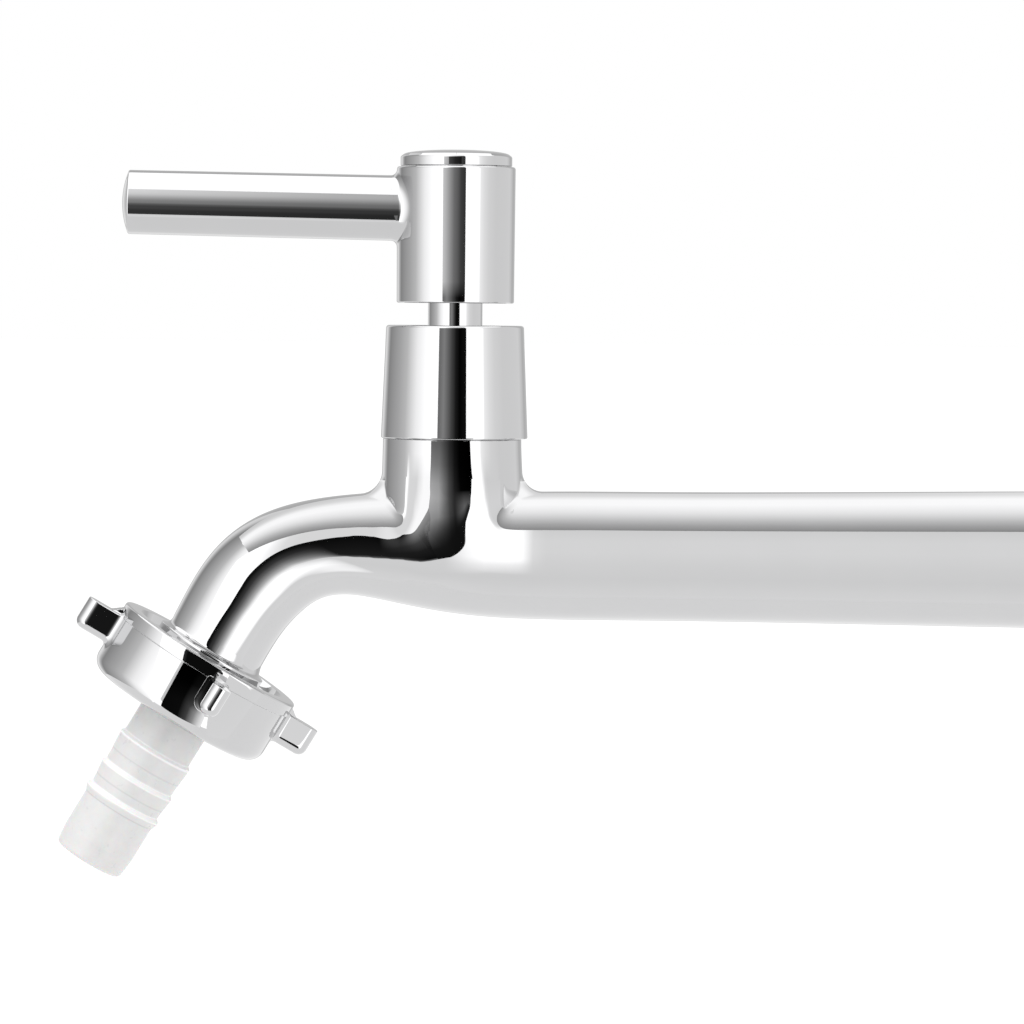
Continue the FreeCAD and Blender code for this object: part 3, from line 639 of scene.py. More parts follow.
def make_spindle():
    sh = Shape()
    R = 4.65
    lathe(sh, [(0, 12.60), (6.3, 12.60, 0.2), (6.3, 18.9, 0.3), (R, 18.9), (R, 23.0), (R - 1, 23.0), (R - 1, 25.0), (R, 25.0), (R, 29.0),
               (R - 1, 29.0), (R - 1, 31.0), (R, 31.0), (R, 36.55), (R - 0.8, 36.55), (R - 0.8, 37.35), (R, 37.35), (R, 46.0, 0.1),
               (3.9, 46.0), (3.9, 46.3)] + [(3.9, 46.4), (1.65, 46.4), (1.65, 46.2), (0, 46.2)], STEM, 144)
    # splined end with a tapped hole
    seg = 160
    th = np.arange(seg) * 2 * math.pi / seg
    r = 3.9 - 0.38 * np.clip(np.cos(20 * th), 0, 1) ** 0.7
    rings = [polar(r, th, 46.2), polar(r, th, 57.1), polar(r - 0.3, th, 57.4), polar(1.75, th, 57.4), polar(1.65, th, 57.3), polar(1.65, th, 47.0)]
    base = sh.count
    sh.add(polar(0.5, th, 46.2), np.zeros((0, 4), int), None, STEM)
    add_rings(sh, base + np.arange(seg), rings, STEM)
    # tang
    x, y, z0, z1 = 5.9, 1.15, 11.5, 12.8
    v = [(sx * x, sy * y, z) for z in (z0, z1) for sx, sy in ((-1, -1), (1, -1), (1, 1), (-1, 1))]
    sh.add(np.array(v), np.array([[3, 2, 1, 0], [4, 5, 6, 7], [0, 1, 5, 4], [1, 2, 6, 5], [2, 3, 7, 6], [3, 0, 4, 7]]), None, STEM)
    return sh.make("spindle_skin")


def make_cover():
    sh = Shape()
    lathe(sh, [(11.0, 19.9, 0.1), (12.55, 19.9, 0.28), (11.76, 39.2, 0.50), (5.0, 39.2, 0.25), (5.0, 37.7), (7.0, 37.7), (7.0, 29.4),
               (9.0, 29.4), (11.0, 28.7)], STEM, 240)
    return sh.make("cover_skin")


def make_flange():
    sh = Shape()
    r = 11.80
    lathe(sh, [(r + 0.30, -9.5, 0.12), (r + 0.30, -6.1), (r + 1.6, -6.1), (r + 1.6, -7.8), (r + 3.2, -6.8, 1.5), (21.0, -4.9, 7.0),
               (24.7, -2.5, 1.0), (24.7, -1.2), (22.8, -1.2), (22.8, 0.0, 0.1), (26.0, 0.0, 0.15), (26.0, -3.0, 2.0), (21.5, -6.2, 8.0),
               (r + 3.6, -8.2, 2.0), (r + 1.5, -9.5, 0.5)], WALL, 240)
    return sh.make("flange_skin")


# --------------------------------------------------------------------- nut
NUT_R, RIM_R = 16.50, 16.85
NUT_T0, NUT_T1 = 0.6, 12.95
LUG_R = 23.15
LUG_FIRST = 77.0


def make_nut():
    sh = Shape()
    m = STEM @ OUTLET
    # cup, rim band with the fine line under it, and inside faces; t runs down
    outer = [(14.0, NUT_T0, 0.12), (14.9, NUT_T0), (RIM_R, NUT_T0, 0.42), (RIM_R, NUT_T0 + 2.35, 0.22), (NUT_R, NUT_T0 + 2.47), (NUT_R, NUT_T1, 2.6),
             (7.15, NUT_T1, 0.25), (7.15, 11.1), (12.25, 11.1), (12.25, 9.4)]
    P, NI, NO = rounded(outer[::-1] + [(12.9, NUT_T0 + 1.1)], closed=False)
    # the outline runs clockwise seen with t down, so it is reversed to keep the outside out
    Pr = P
    seg = 224
    th = np.arange(seg) * 2 * math.pi / seg
    rings = [polar(r, th, t) for r, t in Pr[:-1]]
    # threaded bore from the mouth chamfer down to the seat
    inner = []
    for t in np.arange(2.2, 9.41, 0.12):
        d = thread_r(th, t - 1.75, 12.25, 13.30, PITCH, 0.0, 0.60, 0.10)
        w = smooth(9.4, 8.6, t)
        inner.append(polar(12.25 * (1 - w) + d * w, th, t))
    stack = rings + inner
    base = sh.count
    pts = np.concatenate(stack)
    k = len(stack)
    idx = np.arange(k * seg).reshape(k, seg)
    quads = []
    for i in range(k):
        a, b = idx[i], np.roll(idx[i], -1)
        c, d = np.roll(idx[(i + 1) % k], -1), idx[(i + 1) % k]
        quads.append(np.stack([a, b, c, d], 1))
    sh.add(pts, np.concatenate(quads), None, m)

    # lugs: flat top, rounded below, flared into the wall, with a small web from the rim
    def lug(x, y, t, sink=True):
        rho = np.hypot(x, y)
        nose = np.hypot(np.maximum(x - (LUG_R - 1.75), 0), y) - 1.8 + 0.05 * smooth(LUG_R - 1.75, LUG_R, x)
        body = round_max(nose, t - 8.15, 1.45)
        body = round_max(body, 2.8 - t, 0.16)
        wall = rho - NUT_R
        wall = round_max(wall, t - NUT_T1, 2.6)
        if sink:
            wall = wall - 0.006 + 0.035 * smooth(1.7, 3.2, body)
        web = np.maximum(np.abs(y) - 1.0, 0.6 * (x - 16.6) - 0.8 * (t - 1.2))
        web = np.maximum(round_max(web, 1.05 - t, 0.1), t - 4.2)
        web = np.maximum(web, 15.5 - x)
        f = fillet_union(body, wall, 1.25)
        f = fillet_union(f, web, 0.25)
        if sink:
            f = np.maximum(f, 15.6 - rho)
            f = np.maximum(f, np.abs(y) - 6.4)
            f = np.maximum(f, np.maximum(1.05 - t, t - 12.0))
        return f

    v, q = surface_nets(lug, (14.8, -7.0, 0.8), (24.0, 7.0, 12.6), 0.16)
    v = settle(lug, v, 3)
    n = unit(gradient(lambda x, y, t: lug(x, y, t, False), v, 0.02))
    for j in range(4):
        rot = Matrix.Rotation(math.radians(LUG_FIRST + 90 * j), 4, "Z")
        sh.add(v, q, n[q], m @ rot)
    return sh.make("nut_skin")


def make_tail():
    sh = Shape()
    m = STEM @ OUTLET @ Matrix.Translation((TAIL_OFFSET, 0, 0))
    rb = 4.6
    pts = [(rb, 9.4), (rb, 41.9, 0.3), (6.14, 41.9, 0.9), (6.50, 38.2, 4.0), (6.50, 32.2), (6.55, 31.72), (6.62, 31.60), (6.98, 30.80, 0.10), (6.98, 30.35, 0.10),
           (6.42, 29.78, 0.25), (6.50, 28.90), (6.555, 28.2), (6.60, 28.12), (6.84, 26.05, 0.10), (6.84, 25.75, 0.08), (6.42, 25.2, 0.25), (6.50, 23.15),
           (6.55, 23.05), (6.80, 20.05, 0.10), (6.80, 19.75, 0.08), (6.38, 19.35, 0.25), (6.28, 18.9), (6.33, 11.1), (11.4, 11.1), (11.4, 9.4)]
    lathe(sh, pts, m, 200)
    return sh.make("tail_skin")


# --------------------------------------------------------------- materials
def nt(name):
    mat = bpy.data.materials.new(name)
    mat.use_nodes = True
    t = mat.node_tree
    t.nodes.clear()
    out = t.nodes.new("ShaderNodeOutputMaterial")
    b = t.nodes.new("ShaderNodeBsdfPrincipled")
    t.links.new(b.outputs[0], out.inputs[0])
    return mat, t, b


def node(t, kind, **kw):
    n = t.nodes.new(kind)
    for k, v in kw.items():
        if k.startswith("i_"):
            n.inputs[k[2:].replace("_", " ")].default_value = v
        else:
            setattr(n, k, v)
    return n


def noise(t, coord, scale, detail=3.0, rough=0.5, stretch=None):
    src = coord
    if stretch:
        mp = node(t, "ShaderNodeMapping")
        mp.inputs["Scale"].default_value = stretch
        t.links.new(coord, mp.inputs["Vector"])
        src = mp.outputs[0]
    n = node(t, "ShaderNodeTexNoise")
    n.inputs["Scale"].default_value = scale
    n.inputs["Detail"].default_value = detail
    n.inputs["Roughness"].default_value = rough
    t.links.new(src, n.inputs["Vector"])
    return n.outputs["Fac"]


def remap(t, val, lo, hi, a=0.0, b=1.0):
    r = node(t, "ShaderNodeMapRange")
    r.inputs["From Min"].default_value = a
    r.inputs["From Max"].default_value = b
    r.inputs["To Min"].default_value = lo
    r.inputs["To Max"].default_value = hi
    t.links.new(val, r.inputs["Value"])
    return r.outputs[0]


def mix(t, fac, c0, c1):
    m = node(t, "ShaderNodeMix", data_type="RGBA")
    if isinstance(fac, float):
        m.inputs[0].default_value = fac
    else:
        t.links.new(fac, m.inputs[0])
    for k, c in ((6, c0), (7, c1)):
        if isinstance(c, tuple):
            m.inputs[k].default_value = c
        else:
            t.links.new(c, m.inputs[k])
    return m.outputs[2]


def curve(t, x, pts):
    """Piecewise-linear function of a 0..1 socket."""
    r = node(t, "ShaderNodeValToRGB")
    e = r.color_ramp.elements
    top = max(max(p[1] for p in pts), 1e-6)
    while len(e) < len(pts):
        e.new(0.5)
    for k, (a, b) in enumerate(pts):
        e[k].position = min(max(a, 0.0), 1.0)
        e[k].color = (b / top, b / top, b / top, 1)
    t.links.new(x, r.inputs[0])
    m = node(t, "ShaderNodeMath", operation="MULTIPLY")
    t.links.new(r.outputs[0], m.inputs[0])
    m.inputs[1].default_value = top
    return m.outputs[0]


def bump(t, b, height, strength, dist=0.0001, normal=None):
    n = node(t, "ShaderNodeBump")
    n.inputs["Strength"].default_value = strength
    n.inputs["Distance"].default_value = dist
    t.links.new(height, n.inputs["Height"])
    if normal is not None:
        t.links.new(normal, n.inputs["Normal"])
    t.links.new(n.outputs[0], b.inputs["Normal"])
    return n.outputs[0]


def chrome(name, wave=0.0, rough=(0.018, 0.045), tint=(0.585, 0.585, 0.59)):
    """Bright plate: polishing haze in the roughness, faint waviness of the hand-polished casting under it."""
    mat, t, b = nt(name)
    tc = node(t, "ShaderNodeTexCoord").outputs["Object"]
    b.inputs["Metallic"].default_value = 1.0
    haze = noise(t, tc, 95.0, 4.0, 0.6)
    base = mix(t, remap(t, haze, 0.0, 1.0, 0.35, 0.75), (tint[0] * 0.985, tint[1] * 0.985, tint[2] * 0.985, 1), (tint[0], tint[1], tint[2], 1))
    t.links.new(base, b.inputs["Base Color"])
    t.links.new(remap(t, haze, rough[0], rough[1], 0.3, 0.75), b.inputs["Roughness"])
    micro = noise(t, tc, 2600.0, 2.0, 0.5)
    n1 = bump(t, b, micro, 0.05, 0.000004)
    if wave > 0:
        low = noise(t, tc, 85.0, 2.0, 0.45)
        bump(t, b, low, wave, 0.0001, n1)
    return mat


def simple(name, c0, c1, metal, r0, r1, scale=300.0, bump_s=0.1, stretch=None, dist=0.00002, **extra):
    mat, t, b = nt(name)
    tc = node(t, "ShaderNodeTexCoord").outputs["Object"]
    f = noise(t, tc, scale, 4.0, 0.6, stretch)
    t.links.new(mix(t, remap(t, f, 0, 1, 0.3, 0.7), c0, c1), b.inputs["Base Color"])
    t.links.new(remap(t, f, r0, r1, 0.3, 0.7), b.inputs["Roughness"])
    b.inputs["Metallic"].default_value = metal
    for k, v in extra.items():
        b.inputs[k.replace("_", " ")].default_value = v
    bump(t, b, f, bump_s, dist)
    return mat


M_BODY = chrome("chrome_cast", wave=0.0)
M_TRIM = chrome("chrome_turned")
M_NUT = chrome("chrome_nut")
M_BRASS = simple("brass_turned", (0.62, 0.42, 0.16, 1), (0.74, 0.53, 0.24, 1), 1.0, 0.16, 0.34, 60.0, 0.25, (1, 1, 60), 0.00003)
M_STEEL = simple("steel_bright", (0.50, 0.50, 0.51, 1), (0.62, 0.62, 0.63, 1), 1.0, 0.12, 0.28, 200.0, 0.15, (1, 1, 20))
M_CERAMIC = simple("ceramic_lapped", (0.80, 0.78, 0.72, 1), (0.88, 0.86, 0.81, 1), 0.0, 0.10, 0.22, 500.0, 0.04)
M_RUBBER = simple("rubber_black", (0.012, 0.012, 0.012, 1), (0.03, 0.03, 0.03, 1), 0.0, 0.45, 0.7, 900.0, 0.3)
M_FIBRE = simple("fibre_red", (0.28, 0.07, 0.035, 1), (0.42, 0.14, 0.08, 1), 0.0, 0.7, 0.9, 700.0, 0.6)
M_NYLON = simple("nylon_natural", (0.78, 0.76, 0.68, 1), (0.86, 0.84, 0.78, 1), 0.0, 0.3, 0.45, 400.0, 0.1)



def tail_plastic():
    """White plastic; the edge of each barb carries a painted highlight and a fine painted shadow line runs below it."""
    mat, t, b = nt("white_plastic")
    tc = node(t, "ShaderNodeTexCoord").outputs["Object"]
    f = noise(t, tc, 700.0, 4.0, 0.6)
    base = mix(t, remap(t, f, 0, 1, 0.3, 0.7), (0.70, 0.70, 0.70, 1), (0.735, 0.735, 0.73, 1))
    dot = node(t, "ShaderNodeVectorMath", operation="DOT_PRODUCT")
    t.links.new(tc, dot.inputs[0])
    dot.inputs[1].default_value = (-SA, 0.0, -CA)
    off = (-0.112 + OUT_U * MM) * -SA + OUT_W * MM * -CA
    along = remap(t, dot.outputs["Value"], 0.0, 1.0, off + 0.010, off + 0.044)      # t 10 to 44 mm
    T = lambda x: (x - 10.0) / 34.0
    # pale lists the painted highlight bands on the barb edges, fine the painted shadow lines below the steps
    pale, fine = [(0.0, 0.0)], [(0.0, 0.0)]
    for e in (19.35, 25.2, 29.8):
        pale += [(T(e - 0.25), 0.0), (T(e - 0.1), 1.0), (T(e + 0.65), 1.0), (T(e + 0.85), 0.0)]
    for e in (22.95, 28.15, 31.65):
        fine += [(T(e - 0.16), 0.0), (T(e), 1.0), (T(e + 0.16), 0.0)]
    lo = curve(t, along, pale + [(1.0, 0.0)])
    hi = curve(t, along, fine + [(1.0, 0.0)])
    # lo is the painted highlight mask, lightening the colour to 0.93; hi is the painted shadow line mask, darkening it
    # to 0.58
    c = mix(t, lo, base, (0.93, 0.93, 0.93, 1))
    c = mix(t, hi, c, (0.58, 0.58, 0.58, 1))
    t.links.new(c, b.inputs["Base Color"])
    t.links.new(remap(t, f, 0.26, 0.38, 0.3, 0.7), b.inputs["Roughness"])
    b.inputs["Subsurface Weight"].default_value = 0.25
    b.inputs["Subsurface Scale"].default_value = 0.002
    bump(t, b, f, 0.05, 0.00002)
    return mat


M_WHITE = tail_plastic()


def dress(ob, mat):
    ob.data.materials.clear()
    ob.data.materials.append(mat)


def stand_for(ob, node_name, body, mat):
    dress(ob, mat)
    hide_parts(node_name)
    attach(ob, body)


stand_for(make_body(), "body_casting", "root", M_BODY)
stand_for(make_cover(), "bonnet_cover", "root", M_TRIM)
stand_for(make_handle(), "lever_handle", "handle", M_TRIM)
stand_for(make_cap(), "handle_cap", "handle", M_TRIM)
stand_for(make_spindle(), "spindle", "handle", M_TRIM)
stand_for(make_nut(), "union_nut", "nut", M_NUT)
stand_for(make_tail(), "hose_tail", "tail", M_WHITE)
flange = make_flange()
stand_for(flange, "wall_flange", "flange", M_TRIM)
flange.visible_glossy = False

for names, mat in ((("headwork_body",), M_BRASS), (("headwork_gasket",), M_FIBRE), (("fixed_disc", "moving_disc"), M_CERAMIC),
                   (("seat_seal", "spindle_o_rings", "cap_o_ring", "union_washer"), M_RUBBER), (("thrust_washer",), M_NYLON),
                   (("spindle_circlip", "handle_screw", "screw_spring_washer"), M_STEEL),
                   (("body_casting",), M_BODY), (("bonnet_cover", "lever_handle", "handle_cap", "spindle", "wall_flange"), M_TRIM),
                   (("union_nut",), M_NUT), (("hose_tail",), M_WHITE)):
    for nm in names:
        dress(N[nm], mat)

# ------------------------------------------------------------------ studio
world = bpy.data.worlds.new("studio")
SC.world = world
world.use_nodes = True
world.node_tree.nodes["Background"].inputs[0].default_value = (1, 1, 1, 1)
world.node_tree.nodes["Background"].inputs[1].default_value = 1.0


def sheet_mesh(name, corners):
    me = bpy.data.meshes.new(name)
    me.from_pydata([tuple(c) for c in corners], [], [(0, 1, 2, 3)])
    uv = me.uv_layers.new(name="uv")
    for k, c in enumerate(((0, 0), (1, 0), (1, 1), (0, 1))):
        uv.data[k].uv = c
    ob = bpy.data.objects.new(name, me)
    SC.collection.objects.link(ob)
    return ob


def emitter(name, corners, build):
    """A card that only glossy rays see. build(t, u, v) returns (value socket or number, cover socket or number)."""
    ob = sheet_mesh(name, corners)
    mat = bpy.data.materials.new(name)
    mat.use_nodes = True
    t = mat.node_tree
    t.nodes.clear()
    out = t.nodes.new("ShaderNodeOutputMaterial")
    em = t.nodes.new("ShaderNodeEmission")
    uv = node(t, "ShaderNodeUVMap")
    sep = node(t, "ShaderNodeSeparateXYZ")
    t.links.new(uv.outputs[0], sep.inputs[0])
    value, cover = build(t, sep.outputs[0], sep.outputs[1])
    em.inputs["Color"].default_value = (1, 1, 1, 1)
    if isinstance(value, (int, float)):
        em.inputs["Strength"].default_value = value
    else:
        t.links.new(value, em.inputs["Strength"])
    if isinstance(cover, (int, float)) and cover >= 1:
        t.links.new(em.outputs[0], out.inputs[0])
    else:
        tr = t.nodes.new("ShaderNodeBsdfTransparent")
        mx = t.nodes.new("ShaderNodeMixShader")
        t.links.new(cover, mx.inputs[0])
        t.links.new(tr.outputs[0], mx.inputs[1])
        t.links.new(em.outputs[0], mx.inputs[2])
        t.links.new(mx.outputs[0], out.inputs[0])
    mat.cycles.emission_sampling = "NONE"
    ob.data.materials.append(mat)
    ob.visible_camera = False
    ob.visible_diffuse = False
    ob.visible_shadow = False
    ob.visible_transmission = False
    return ob


def times(t, a, b):
    m = node(t, "ShaderNodeMath", operation="MULTIPLY")
    for k, s in enumerate((a, b)):
        if isinstance(s, (int, float)):
            m.inputs[k].default_value = s
        else:
            t.links.new(s, m.inputs[k])
    return m.outputs[0]


# The room is a set of curved cards round the tap; small cards close to the body
# make the soft bands along the tube and the spout.
CX, CY = -0.112, 0.0
RAD = 1.6


def panorama(name, az0, az1, el0, el1, build, radius=RAD, nseg=24, mseg=16):
    """Curved card on a sphere about the tap: azimuth 0 is towards -Y, positive to +X, degrees. u, v run 0..1 over it."""
    verts, faces = [], []
    for j in range(mseg + 1):
        for i in range(nseg + 1):
            a = math.radians(az0 + (az1 - az0) * i / nseg)
            e = math.radians(el0 + (el1 - el0) * j / mseg)
            verts.append((CX + radius * math.cos(e) * math.sin(a), CY - radius * math.cos(e) * math.cos(a), radius * math.sin(e) + 0.03))
    for j in range(mseg):
        for i in range(nseg):
            k = j * (nseg + 1) + i
            faces.append((k, k + 1, k + nseg + 2, k + nseg + 1))
    ob = emitter(name, [(0, 0, 0)] * 4, build)
    me = bpy.data.meshes.new(name)
    me.from_pydata(verts, [], faces)
    uv = me.uv_layers.new(name="uv")
    for p in me.polygons:
        for li in p.loop_indices:
            vi = me.loops[li].vertex_index
            uv.data[li].uv = ((vi % (nseg + 1)) / nseg, (vi // (nseg + 1)) / mseg)
    me.materials.append(ob.data.materials[0])
    ob.data = me
    return ob


def deg(a, lo, hi):
    return (a - lo) / (hi - lo)


def plus(t, a, b):
    m = node(t, "ShaderNodeMath", operation="ADD")
    t.links.new(a, m.inputs[0])
    t.links.new(b, m.inputs[1])
    return m.outputs[0]


AZ_L, AZ_DARK0, AZ_DARK1, AZ_R, EL0, EL1 = -160.0, -24.8, 19.3, 130.0, -43.0, 47.5


def left_build(t, u, v):
    A = lambda a: deg(a, AZ_L, AZ_DARK0)
    return curve(t, u, [(0.0, 1.0), (A(-150), 0.95), (A(-141), 0.62), (A(-133), 0.36), (A(-118), 0.48), (A(-100), 0.62), (A(-84), 0.80), (A(-74), 1.10),
                        (A(-63), 1.45), (A(-50), 1.70), (A(-40), 1.85), (1.0, 1.85)]), 1.0


def right_build(t, u, v):
    A = lambda a: deg(a, AZ_DARK1, AZ_R)
    return curve(t, u, [(0.0, 1.9), (A(47), 1.9), (A(49.5), 1.42), (A(58), 1.22), (A(68), 1.08), (A(85), 1.0), (1.0, 1.0)]), 1.0


def dark_build(t, u, v):
    A = lambda a: deg(a, AZ_DARK0, AZ_DARK1)
    E = lambda e: deg(e, EL0, EL1)
    dark = curve(t, u, [(0.0, 0.95), (A(-20), 0.80), (A(-14), 0.58), (A(-9), 0.42), (A(-3), 0.25), (A(4), 0.17), (A(10), 0.08), (1.0, 0.045)])
    rise = curve(t, v, [(0.0, 0.12), (E(-34), 0.13), (E(-27), 0.15), (E(-20), 0.235), (E(-12.5), 0.25), (E(-5.5), 0.50), (E(-1.5), 0.86), (E(0.5), 1.0), (E(2.5), 1.0), (E(8.5), 1.16),
                        (E(15.6), 1.67), (E(23), 2.3), (E(30), 2.84), (E(37), 3.0), (1.0, 2.96)])
    return times(t, dark, rise), 1.0


panorama("studio_left", AZ_L, AZ_DARK0, EL0, EL1, left_build, nseg=27, mseg=18)
panorama("studio_dark", AZ_DARK0, AZ_DARK1, EL0, EL1, dark_build, nseg=9, mseg=18)
panorama("studio_right", AZ_DARK1, AZ_R, EL0, EL1, right_build, nseg=22, mseg=18)
panorama("studio_back_left", -200.0, AZ_L, EL0, EL1, lambda t, u, v: (0.62, 1.0), nseg=8, mseg=18)
panorama("studio_back_right", AZ_R, 160.0, EL0, EL1, lambda t, u, v: (curve(t, u, [(0.0, 0.98), (0.35, 0.8), (0.6, 0.62), (1.0, 0.62)]), 1.0), nseg=6, mseg=18)


def top_build(t, u, v):
    return 1.75, 1.0


panorama("studio_top", -179.0, 180.0, EL1, 90.0, top_build, radius=RAD, nseg=48, mseg=8)


def card(name, corners, build):
    """Flat card given in millimetres about the stem axis."""
    return emitter(name, [put(np.array(c, float), STEM) * MM for c in corners], build)


ROOF_Z, FRONT_Y, ROOF_Y = 12.7, -16.8, 2.0
ROOF = [(-16.8, 0.40), (-15.2, 0.50), (-13.7, 0.60), (-11.6, 0.82), (-9.9, 1.08), (-8.3, 1.32), (-6.7, 1.5), (-5.2, 1.63), (-3.4, 1.60), (-1.2, 1.15), (0.6, 1.0), (2.0, 1.0)]


def from_below(t):
    """The roof shows only on its lower side."""
    return node(t, "ShaderNodeNewGeometry").outputs["Backfacing"]


def roof_build(t, u, v):
    return curve(t, v, [((y - FRONT_Y) / (ROOF_Y - FRONT_Y), r) for y, r in ROOF]), from_below(t)


def roof(name, front, back, build):
    """Roof over the body: its run in X at the front edge and at the back edge."""
    card(name, [(front[0], FRONT_Y, ROOF_Z), (front[1], FRONT_Y, ROOF_Z), (back[1], ROOF_Y, ROOF_Z), (back[0], ROOF_Y, ROOF_Z)], build)


roof("tube_roof", (9.3, 101.5), (11.0, 101.5), roof_build)
roof("spout_roof", (-45.0, -10.3), (-45.0, -12.4), roof_build)
roof("saddle_roof_right", (5.5, 9.3), (5.5, 11.0), lambda t, u, v: (1.12, from_below(t)))
roof("saddle_roof_left", (-10.3, -7.8), (-12.4, -7.8), lambda t, u, v: (1.25, from_below(t)))


# Front cards stand on one plane close to the body; u and v run over FX, FZ.
FX, FZ = (-52.0, 101.5), (-40.0, 12.7)


def front_card(name, cols, build, uvs=None):
    """Card between a lower and an upper edge, given as columns (x0, z0, x1, z1)."""
    verts, uv_at, faces = [], [], []
    for k, (x0, z0, x1, z1) in enumerate(cols):
        for q, (x, z) in enumerate(((x0, z0), (x1, z1))):
            verts.append(tuple(put(np.array([x, FRONT_Y, z], float), STEM) * MM))
            uv_at.append((deg(x, *FX), deg(z, *FZ)) if uvs is None else (uvs[k], float(q)))
    for i in range(len(cols) - 1):
        faces.append((2 * i, 2 * i + 2, 2 * i + 3, 2 * i + 1))
    ob = emitter(name, [(0, 0, 0)] * 4, build)
    me = bpy.data.meshes.new(name)
    me.from_pydata(verts, [], faces)
    uv = me.uv_layers.new(name="uv")
    for poly in me.polygons:
        for li in poly.loop_indices:
            uv.data[li].uv = uv_at[me.loops[li].vertex_index]
    me.materials.append(ob.data.materials[0])
    ob.data = me
    return ob


def under(top):
    return [(x, FZ[0], x, z) for x, z in top]


def front_build(t, u, v):
    X = lambda x: deg(x, *FX)
    Z = lambda z: deg(z, *FZ)
    base = curve(t, v, [(0.0, 1.12), (Z(-18), 1.08), (Z(-8.5), 1.03), (Z(-3), 1.06), (Z(2.0), 1.12), (Z(6), 1.12), (Z(12.7), 1.04)])
    gx = curve(t, u, [(0.0, 0.0), (X(-2), 0.0), (X(2), 0.55), (X(5), 0.85), (X(9.5), 0.85), (X(11.3), 0.75), (X(13.3), 0.10), (X(15.5), 0.0), (1.0, 0.0)])
    gz = curve(t, v, [(0.0, 0.0), (Z(-7), 0.0), (Z(-3), 0.5), (Z(-0.5), 1.0), (1.0, 1.0)])
    return plus(t, base, times(t, gx, gz)), 1.0


def upper_build(t, u, v):
    X = lambda x: deg(x, *FX)
    return curve(t, u, [(0.0, 1.9), (X(-37), 1.9), (X(-33.5), 1.55), (X(-30), 1.22), (X(-27), 1.15), (X(-15.5), 1.15), (X(-12.5), 1.45), (X(-10.5), 1.65), (X(-7.5), 1.65), (1.0, 1.65)]), 1.0


def spline(pts, k=5):
    """Smooth run through points (Catmull-Rom)."""
    p = np.array(pts, float)
    e = np.concatenate([[2 * p[0] - p[1]], p, [2 * p[-1] - p[-2]]])
    out = []
    for i in range(1, len(e) - 2):
        for j in range(k):
            t = j / k
            out.append(0.5 * ((2 * e[i]) + (e[i + 1] - e[i - 1]) * t + (2 * e[i - 1] - 5 * e[i] + 4 * e[i + 1] - e[i + 2]) * t * t
                              + (3 * e[i] - e[i - 1] - 3 * e[i + 1] + e[i + 2]) * t ** 3))
    out.append(p[-1])
    return [tuple(q) for q in np.array(out)]


# edge of the dark shape on its upper left, and of the light below it
EDGE = spline([(-44.6, -14.9), (-43.8, -13.2), (-42.1, -10.9), (-40.2, -8.5), (-38.7, -5.3), (-37.1, -1.5), (-33.6, 2.3), (-30.5, 4.3),
               (-27.4, 5.3), (-24.8, 5.6), (-22.8, 5.9), (-20.7, 6.4), (-18.6, 6.8), (-16.2, 6.6), (-13.4, 5.2), (-10.8, 4.5), (-8.9, 4.9), (-7.9, 6.6)])
LIGHT = spline([(-36.6, -19.6), (-34.8, -16.4), (-33.5, -14.1), (-31.6, -11.8), (-30.1, -8.9), (-27.6, -6.0), (-24.6, -4.7), (-22.9, -4.5),
                (-21.2, -4.4), (-20.0, -4.4), (-19.0, -4.4), (-18.0, -4.4), (-17.0, -4.4), (-15.5, -4.3), (-13.3, -4.0), (-10.0, -3.6), (-6.8, -2.9),
                (-3.2, -1.8)])
FOOT = spline([(-3.2, -1.8), (-0.6, -0.95), (1.25, 0.65), (2.85, 2.6), (4.5, 4.75), (5.9, 7.0), (6.3, 9.6)])
front_card("spout_front", [(-52.0, -26.0, -52.0, ROOF_Z), (-48.5, -22.5, -48.5, ROOF_Z)] + [(x, z, x, ROOF_Z) for x, z in EDGE] + [(-7.8, 9.0, -7.8, ROOF_Z)], upper_build)
front_card("spout_low", under([(-40.2, -25.4)] + LIGHT + FOOT[1:] + [(6.45, 12.7)]), front_build)
front_card("tube_front", [(6.45, FZ[0], 6.45, ROOF_Z), (FX[1], FZ[0], FX[1], ROOF_Z)], front_build)


# the cards carried on above the roof, fading out
def top_fade(name, xs, pts):
    front_card(name, [(x, ROOF_Z, x, ROOF_Z + 4.5) for x in xs],
               lambda t, u, v: (curve(t, u, [(deg(x, *FX), r) for x, r in pts]), curve(t, v, [(0.0, 1.0), (1.0, 0.0)])),
               [deg(x, *FX) for x in xs])


top_fade("spout_front_top", (-42.0, -34.0, -26.0, -18.0, -7.8), [(-42.0, 1.9), (-37.0, 1.9), (-33.5, 1.55), (-30.0, 1.22), (-27.0, 1.15), (-15.5, 1.15), (-12.5, 1.45), (-10.5, 1.65), (-7.8, 1.65)])
top_fade("tube_front_top", (9.0, 15.0, 30.0, 60.0), [(9.0, 1.89), (11.3, 1.79), (13.3, 1.14), (15.5, 1.04), (60.0, 1.04)])


def ribbon_build(t, u, v):
    bend = curve(t, v, [(0.0, 0.006), (0.12, 0.01), (0.34, 0.06), (0.50, 0.18), (0.64, 0.38), (0.80, 0.72), (0.93, 1.25), (1.0, 1.6)])
    flat = curve(t, v, [(0.0, 0.004), (0.5, 0.012), (0.86, 0.02), (0.95, 0.12), (1.0, 1.0)])
    last = curve(t, v, [(0.0, 0.50), (0.10, 0.42), (0.28, 0.26), (0.48, 0.09), (0.70, 0.02), (0.95, 0.006), (1.0, 0.3)])
    w0 = curve(t, u, [(0.0, 1.0), (0.36, 1.0), (0.55, 0.0), (1.0, 0.0)])
    w1 = curve(t, u, [(0.0, 0.0), (0.36, 0.0), (0.55, 1.0), (0.80, 1.0), (0.97, 0.0), (1.0, 0.0)])
    w2 = curve(t, u, [(0.0, 0.0), (0.80, 0.0), (0.97, 1.0), (1.0, 1.0)])
    return plus(t, plus(t, times(t, bend, w0), times(t, flat, w1)), times(t, last, w2)), 1.0


